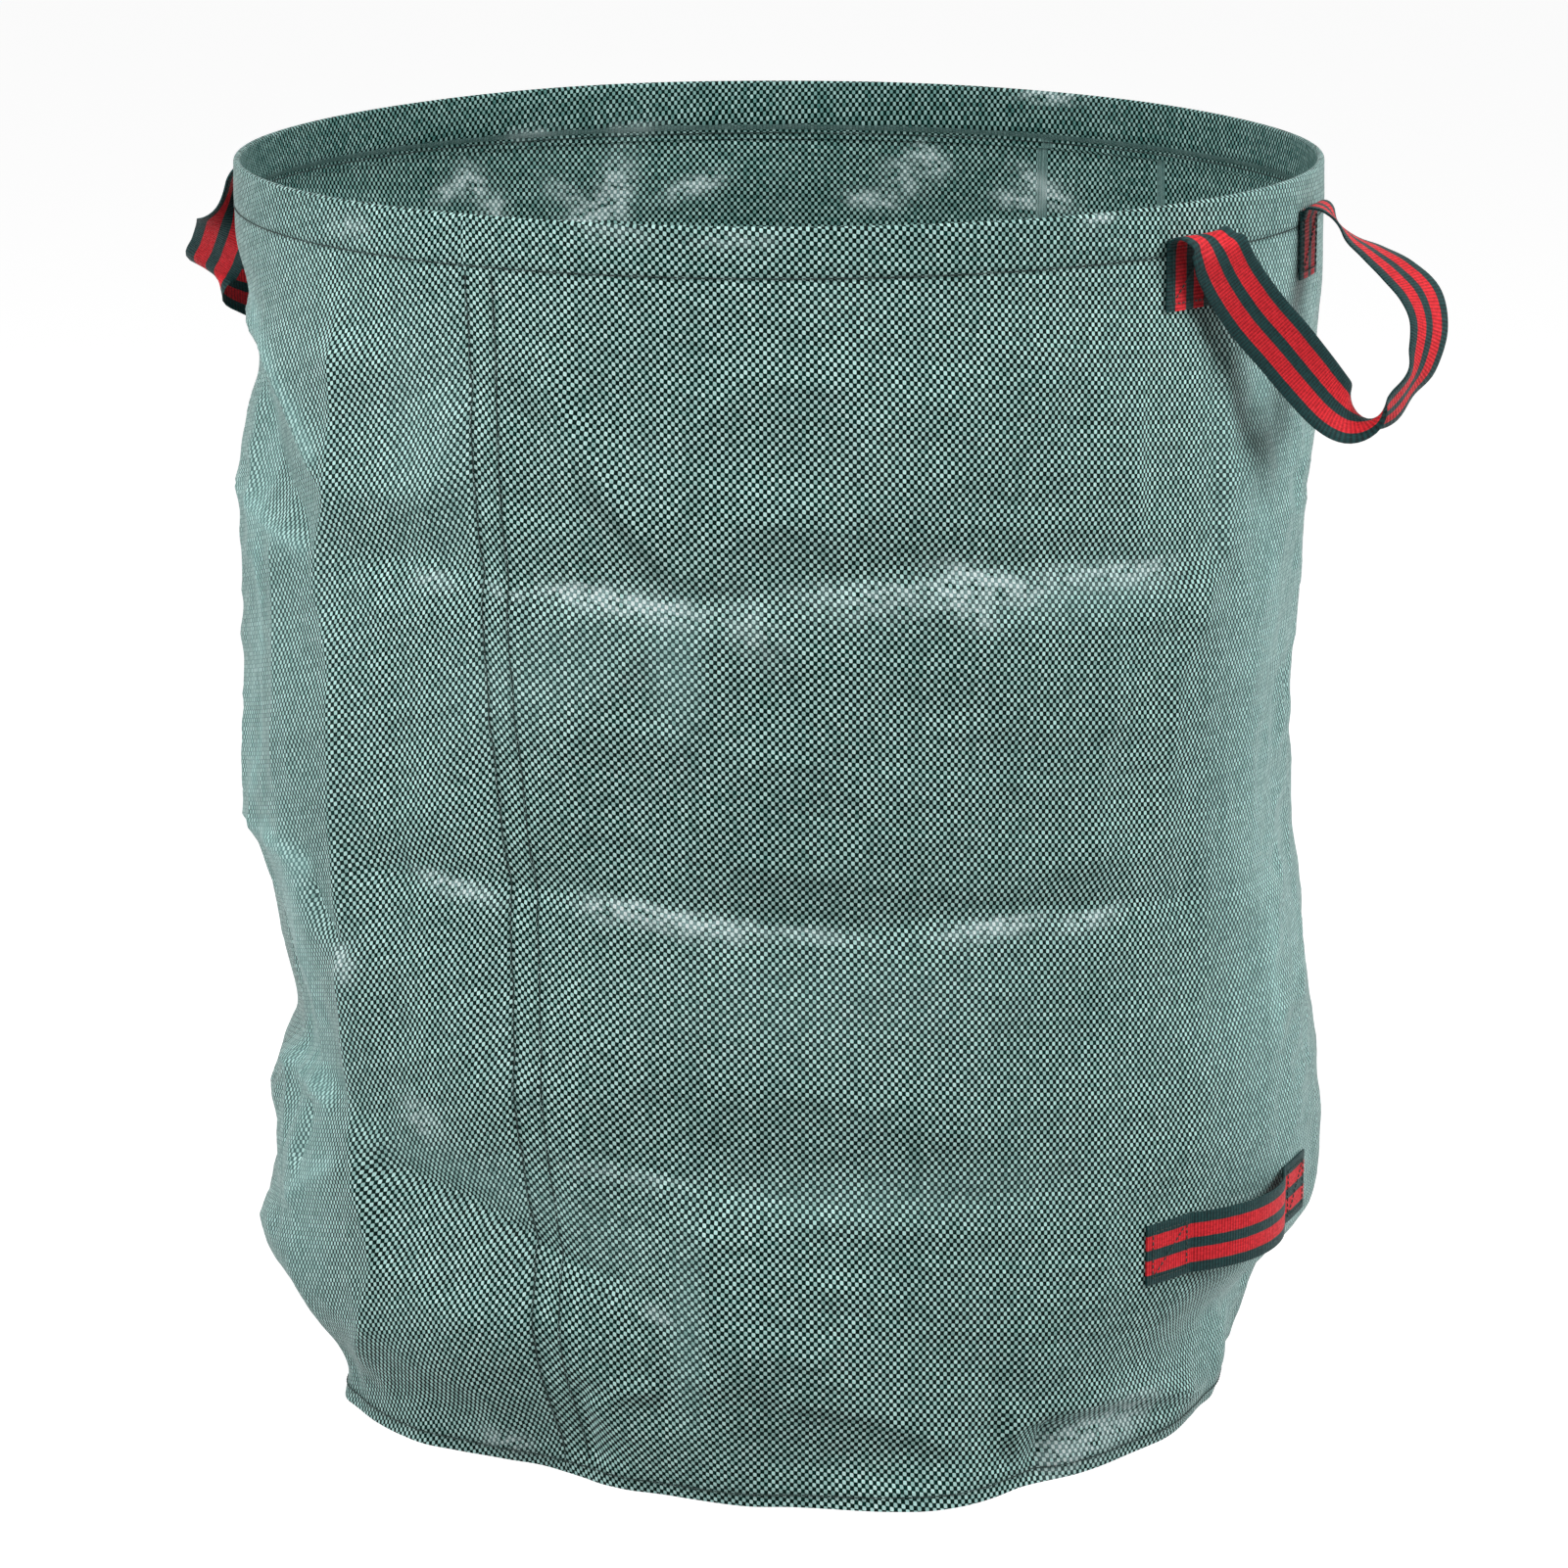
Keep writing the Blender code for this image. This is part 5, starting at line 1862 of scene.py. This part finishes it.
@dataclass
class RimHandle:
    """A loop handle: two sewn ends on the hem and one strap that hangs between them."""

    side: Side
    azimuth: float
    shares: tuple[tuple[Point, Point], ...]
    wall: Wall
    finishes: Finishes
    span: float = 0.149
    top: float = 0.744
    tab: float = 0.048
    top_trim: float = 0.0036
    foot_trim: float = 0.003
    tab_rows: int = 14
    reach: float = 0.080
    drop: float = 0.124
    seat: float = 0.00142
    bedded: float = 0.0004
    loop_gap: float = 0.00045
    loop_steps: int = 7
    hold_steps: float = 24.0
    blend_in: float = 0.001
    blend_out: float = 0.012
    sewn: SewnEnd = field(default_factory=SewnEnd)

    def frame(self) -> tuple[Array, Array, Array, float]:
        """The hinge's middle, its along and outward directions, and half the angle between the ends."""
        half = math.degrees(math.asin(self.span / 2 / self.wall.radius))
        proud = self.wall.radius + self.seat + self.sewn.strap.thickness * 1.5 + self.loop_gap
        out = outward(np.array(self.azimuth))
        along = outward(np.array(self.azimuth + 90.0))
        middle = out * proud * math.cos(math.radians(half)) + np.array([0.0, 0.0, self.top])
        return middle, along, out, half

    def loop(self) -> tuple[Array, Array]:
        """The loop's middle line, which arches out of each sewn end, and the directions across it."""
        middle, along, out, half = self.frame()
        down = np.array([0.0, 0.0, -1.0])
        length = self.span / 2 * (1 + (self.seat + 2 * self.sewn.strap.thickness) / self.wall.radius)
        places = [
            middle + along * (a * length) + out * (o * self.reach) + down * (d * self.drop)
            for (a, o, d), _ in self.shares
        ]
        acrosses = [along * a + out * o + down * d for _, (a, o, d) in self.shares]
        path = smooth_path(np.array(places), self.loop_steps)
        across = smooth_path(np.array(acrosses), self.loop_steps)
        tangent = unit(np.gradient(path, axis=0))
        index = np.arange(len(path))
        from_end = np.minimum(index, index[::-1])
        hold = eased((from_end - self.loop_steps) / self.hold_steps)[:, None]
        seated = outward(self.azimuth + 90.0 + np.where(index > index[::-1] + 1, half, -half))
        free = unit(across - tangent * (across * tangent).sum(1, keepdims=True))
        return path, unit(seated * (1.0 - hold) + free * hold)

    def build_tab(self, end: str, centre: float) -> None:
        """Make one sewn end and its threads.

        Args:
            end: Its name, front or rear.
            centre: Its azimuth.
        """
        strap, low, high = self.sewn.strap, self.top - self.tab + self.foot_trim, self.top - self.top_trim
        levels = np.linspace(low, high, self.tab_rows)
        wide, deep = strap.section()
        azimuth = centre + np.degrees(wide / self.wall.radius)
        radius = self.wall.radius + self.seat + strap.thickness / 2 - self.bedded
        points = np.array([ring_at(azimuth, radius + deep, level) for level in levels])
        name = f"{self.side.value}_handle_{end}"
        piece = strap.close(f"{name}_end", points, levels - levels[0], self.finishes.webbing, turned=True)
        place_piece(piece, Body.RIM, Slot.WEBBING, f"{name}_tab")
        half = math.degrees(self.sewn.reach / self.wall.radius)
        turn, level = box_run(-half, half, low + self.sewn.inset, high - self.sewn.inset).T
        path = ring_at(centre + turn, radius + strap.thickness / 2 + self.sewn.proud, level)
        threads = self.sewn.stitching.build(
            f"{name}_end_threads", [(path, outward(centre + turn))], self.finishes.thread
        )
        place_piece(threads, Body.RIM, Slot.THREAD, f"{name}_tab_stitching")

    def build(self) -> None:
        """Make the handle."""
        middle, _, out, half = self.frame()
        first, last = ("front", "rear") if self.side is Side.RIGHT else ("rear", "front")
        self.build_tab(first, self.azimuth - half)
        self.build_tab(last, self.azimuth + half)
        path, across = self.loop()
        piece = self.sewn.strap.build(f"{self.side.value}_handle_strap", path, across, self.finishes.webbing)
        start, end = list(middle - out * self.blend_in), list(middle + out * self.blend_out)
        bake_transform(piece)
        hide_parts(f"{self.side.value}_handle_loop")


# The loops' middle lines as shares along the span, out and down, each with the direction across the strap
RIGHT_LOOP = (
    ((-1, -0.026, 0.07), (0.975, 0.221, 0)), ((-1, -0.014, 0.035), (0.975, 0.221, 0)),
    ((-1, 0.03, 0.017), (0.97, 0.23, 0)), ((-0.99, 0.085, 0.019), (0.96, 0.28, 0)),
    ((-0.975, 0.14, 0.04), (0.93, 0.37, -0.03)), ((-0.95, 0.2, 0.1), (0.84, 0.5, -0.18)),
    ((-0.8, 0.23, 0.23), (0.67, 0.52, -0.53)), ((-0.58, 0.31, 0.4), (0.55, 0.6, -0.58)),
    ((-0.34, 0.43, 0.57), (0.55, 0.6, -0.58)), ((-0.12, 0.52, 0.72), (0.67, 0.52, -0.53)),
    ((0.08, 0.62, 0.86), (0.83, 0.37, -0.41)), ((0.24, 0.71, 0.94), (0.98, 0.16, -0.15)),
    ((0.4, 0.82, 0.96), (1, 0.02, 0.06)), ((0.54, 0.91, 0.91), (0.99, -0.03, 0.17)),
    ((0.68, 0.98, 0.81), (0.98, -0.17, 0.14)), ((0.8, 1.02, 0.7), (0.99, 0.04, 0.16)),
    ((0.92, 1.01, 0.54), (0.98, 0.16, 0.12)), ((0.99, 0.9, 0.4), (0.98, 0.16, -0.12)),
    ((1.03, 0.7, 0.3), (0.97, -0.1, -0.22)), ((1.04, 0.48, 0.22), (0.95, -0.3, -0.11)),
    ((1.04, 0.3, 0.16), (0.91, -0.41, 0.04)), ((1.02, 0.18, 0.09), (0.88, -0.44, 0.16)),
    ((1.01, 0.11, 0.035), (0.93, -0.33, 0.12)), ((1, 0.05, 0.016), (0.97, -0.24, 0.04)),
    ((1, 0, 0.022), (0.975, -0.221, 0)), ((1, -0.026, 0.07), (0.975, -0.221, 0)),
)
LEFT_LOOP = (
    ((-1, -0.026, 0.07), (0.975, 0.221, 0)), ((-1, -0.014, 0.035), (0.975, 0.221, 0)),
    ((-1, 0.03, 0.017), (0.97, 0.23, 0)), ((-1.01, 0.085, 0.03), (0.97, 0.22, -0.03)),
    ((-1.01, 0.12, 0.09), (0.96, 0.21, -0.14)), ((-0.95, 0.15, 0.28), (0.86, 0.18, -0.48)),
    ((-0.8, 0.2, 0.55), (0.66, 0.14, -0.74)), ((-0.45, 0.28, 0.74), (0.42, 0.16, -0.89)),
    ((-0.05, 0.42, 0.78), (0.28, 0.3, -0.91)), ((0.32, 0.58, 0.72), (0.28, 0.52, -0.8)),
    ((0.54, 0.68, 0.63), (0.32, 0.68, -0.66)), ((0.68, 0.54, 0.52), (0.36, 0.62, -0.68)),
    ((0.88, 0.34, 0.36), (0.6, 0.2, -0.7)), ((1, 0.2, 0.17), (0.9, -0.25, -0.25)),
    ((1.02, 0.13, 0.07), (0.95, -0.22, -0.08)), ((1.01, 0.08, 0.025), (0.97, -0.23, -0.02)),
    ((1, 0.03, 0.016), (0.975, -0.221, 0)), ((1, -0.014, 0.035), (0.975, -0.221, 0)),
    ((1, -0.026, 0.07), (0.975, -0.221, 0)),
)


@dataclass
class BottomHandle:
    """The level handle low on the right: two sewn ends and a span that stands off the wall."""

    wall: Wall
    finishes: Finishes
    azimuth: float = 55.8
    span: float = 0.109
    level: float = 0.131
    tab: float = 0.038
    tab_rows: int = 14
    span_rows: int = 40
    gap: float = 0.0006
    stand_off: float = 0.0145
    sewn: SewnEnd = field(default_factory=SewnEnd)

    def strip(self, start: float, stop: float, count: int, bow: float) -> tuple[Array, Array]:
        """Middle line and directions across, for level webbing between two azimuths.

        Args:
            start: The first azimuth.
            stop: The last azimuth.
            count: How many points.
            bow: How far the middle stands off the wall.

        Returns:
            The line and the directions.
        """
        azimuth = np.linspace(start, stop, count)
        share = np.linspace(-1.0, 1.0, count)
        strap = self.sewn.strap
        levels = self.level + np.linspace(-0.5, 0.5, 9)[:, None] * strap.width
        skin = self.wall.standing(azimuth[None, :], levels) + self.wall.relief(azimuth[None, :], levels)
        radius = skin.max(0) + self.gap + strap.thickness / 2 + bow * (1 - share ** 2)
        return ring_at(azimuth, radius, self.level), np.repeat(np.array([[0.0, 0.0, -1.0]]), count, 0)

    def build(self) -> None:
        """Make the handle and its threads."""
        half, tab, clear = np.degrees(np.array([self.span / 2, self.tab, self.gap]) / self.wall.radius)
        front, rear = self.azimuth - half, self.azimuth + half
        for end, start, stop in (("front", front - tab, front), ("rear", rear, rear + tab)):
            path, across = self.strip(start, stop, self.tab_rows, 0.0)
            name = f"bottom_handle_{end}"
            piece = self.sewn.strap.build(f"{name}_end", path, across, self.finishes.webbing)
            place_piece(piece, Body.BAG, Slot.WEBBING, f"{name}_tab")
            self.build_threads(name, path)
        path, across = self.strip(front + clear, rear - clear, self.span_rows, self.stand_off)
        piece = self.sewn.strap.build("bottom_handle_strap", path, across, self.finishes.webbing)
        place_piece(piece, Body.BOTTOM, Slot.WEBBING, "bottom_handle_span")

    def build_threads(self, name: str, path: Array) -> None:
        """Make the box of stitches on one sewn end.

        Args:
            name: The end's name.
            path: The end's middle line.
        """
        level_part = np.array([1.0, 1.0, 0.0])
        face = path + unit(path * level_part) * (self.sewn.strap.thickness / 2 + self.sewn.proud)
        side = self.sewn.inset / self.tab
        at, rise = box_run(side, 1 - side, -self.sewn.reach, self.sewn.reach).T
        line = read_along(at, np.linspace(0.0, 1.0, len(path)), face)
        line[:, 2] += rise
        threads = self.sewn.stitching.build(
            f"{name}_end_threads", [(line, unit(line * level_part))], self.finishes.thread
        )
        place_piece(threads, Body.BAG, Slot.THREAD, f"{name}_tab_stitching")


# ---------------------------------------------------------------- the studio


@dataclass(frozen=True)
class SoftBox:
    """One soft lamp."""

    name: str
    place: Point
    target: Point
    size: float
    power: float

    def build(self) -> None:
        """Hang the lamp."""
        lamp = bpy.data.lights.new(self.name, "AREA")
        lamp.shape = "SQUARE"
        lamp.size = self.size
        lamp.energy = self.power
        holder = bpy.data.objects.new(self.name, lamp)
        bpy.context.scene.collection.objects.link(holder)
        holder.location = self.place
        aim = Vector(self.target) - Vector(self.place)
        holder.rotation_euler = aim.to_track_quat("-Z", "Y").to_euler()


@dataclass
class Studio:
    """Camera, floor, lamps and sky."""

    camera_place: Point = (0.003, -3.45, 1.205)
    camera_pitch: float = 76.2
    lens: float = 128.73
    sky: float = 0.12
    boxes: tuple[SoftBox, ...] = (
        SoftBox("lamp_left", (-2.5, -1.7, 2.2), (0.0, 0.0, 0.4), 1.6, 74.0),
        SoftBox("lamp_right", (2.8, -0.9, 1.9), (0.0, 0.0, 0.4), 1.4, 60.0),
        SoftBox("lamp_top", (0.3, -1.6, 3.1), (0.0, 0.1, 0.5), 1.2, 28.0),
    )

    def build(self) -> None:
        """Set up the studio."""
        scene = bpy.context.scene
        scene.view_settings.view_transform = "Standard"
        lens = bpy.data.cameras.new("camera")
        lens.lens = self.lens
        lens.sensor_width = 36.0
        camera = bpy.data.objects.new("camera", lens)
        camera.location = self.camera_place
        camera.rotation_euler = (math.radians(self.camera_pitch), 0.0, 0.0)
        scene.collection.objects.link(camera)
        scene.camera = camera
        clear_selection()
        bpy.ops.mesh.primitive_plane_add(size=60.0, location=(0.0, 0.0, -0.0004))
        floor = bpy.context.object
        floor.name = "floor"
        bpy.ops.object.transform_apply(location=True, rotation=True, scale=True)
        floor.data.materials.append(PaleFloor().make())
        for box in self.boxes:
            box.build()
        self.build_sky(scene)

    def build_sky(self, scene: bpy.types.Scene) -> None:
        """Make a sky that is white where the camera and reflections look, and softer as light.

        Args:
            scene: The scene that it is for.
        """
        world = bpy.data.worlds.new("studio_sky")
        world.use_nodes = True
        tree = world.node_tree
        tree.nodes.clear()
        output = tree.nodes.new("ShaderNodeOutputWorld")
        glow = tree.nodes.new("ShaderNodeBackground")
        strength = seen_rays(tree) * (1.0 - self.sky) + self.sky
        tree.links.new(strength.socket, glow.inputs["Strength"])
        glow.inputs["Color"].default_value = WHITE
        tree.links.new(glow.outputs[0], output.inputs[0])
        scene.world = world


def dress_hoop(frame: dict[str, object], finishes: Finishes) -> None:
    """Give the hidden hoop and its joint their finish.

    Args:
        finishes: The bag's finishes.
    """
    for name in ("rim_hoop", "hoop_joint"):
        node = frame["nodes"][name]
        node.data.materials.clear()
        node.data.materials.append(finishes.hoop)
        LOG.info("%s: dressed", name)


def main() -> None:
    """Build the bag's looks and the studio."""
    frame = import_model()
    finishes = Finishes.build()
    wall, weave = Wall(), Weave()
    Studio().build()
    cloth = WallCloth(wall, weave, finishes)
    cloth.build()
    SeamThreads(wall, cloth, finishes).build()
    BaseCloth(wall, weave, finishes).build()
    RimHem(wall, weave, finishes).build()
    RimHandle(Side.RIGHT, 57.5, RIGHT_LOOP, wall, finishes).build()
    RimHandle(Side.LEFT, -115.5, LEFT_LOOP, wall, finishes).build()
    BottomHandle(wall, finishes).build()
    dress_hoop(frame, finishes)


if __name__ == "__main__":
    logging.basicConfig(level=logging.INFO, format="%(name)s %(message)s")
    main()
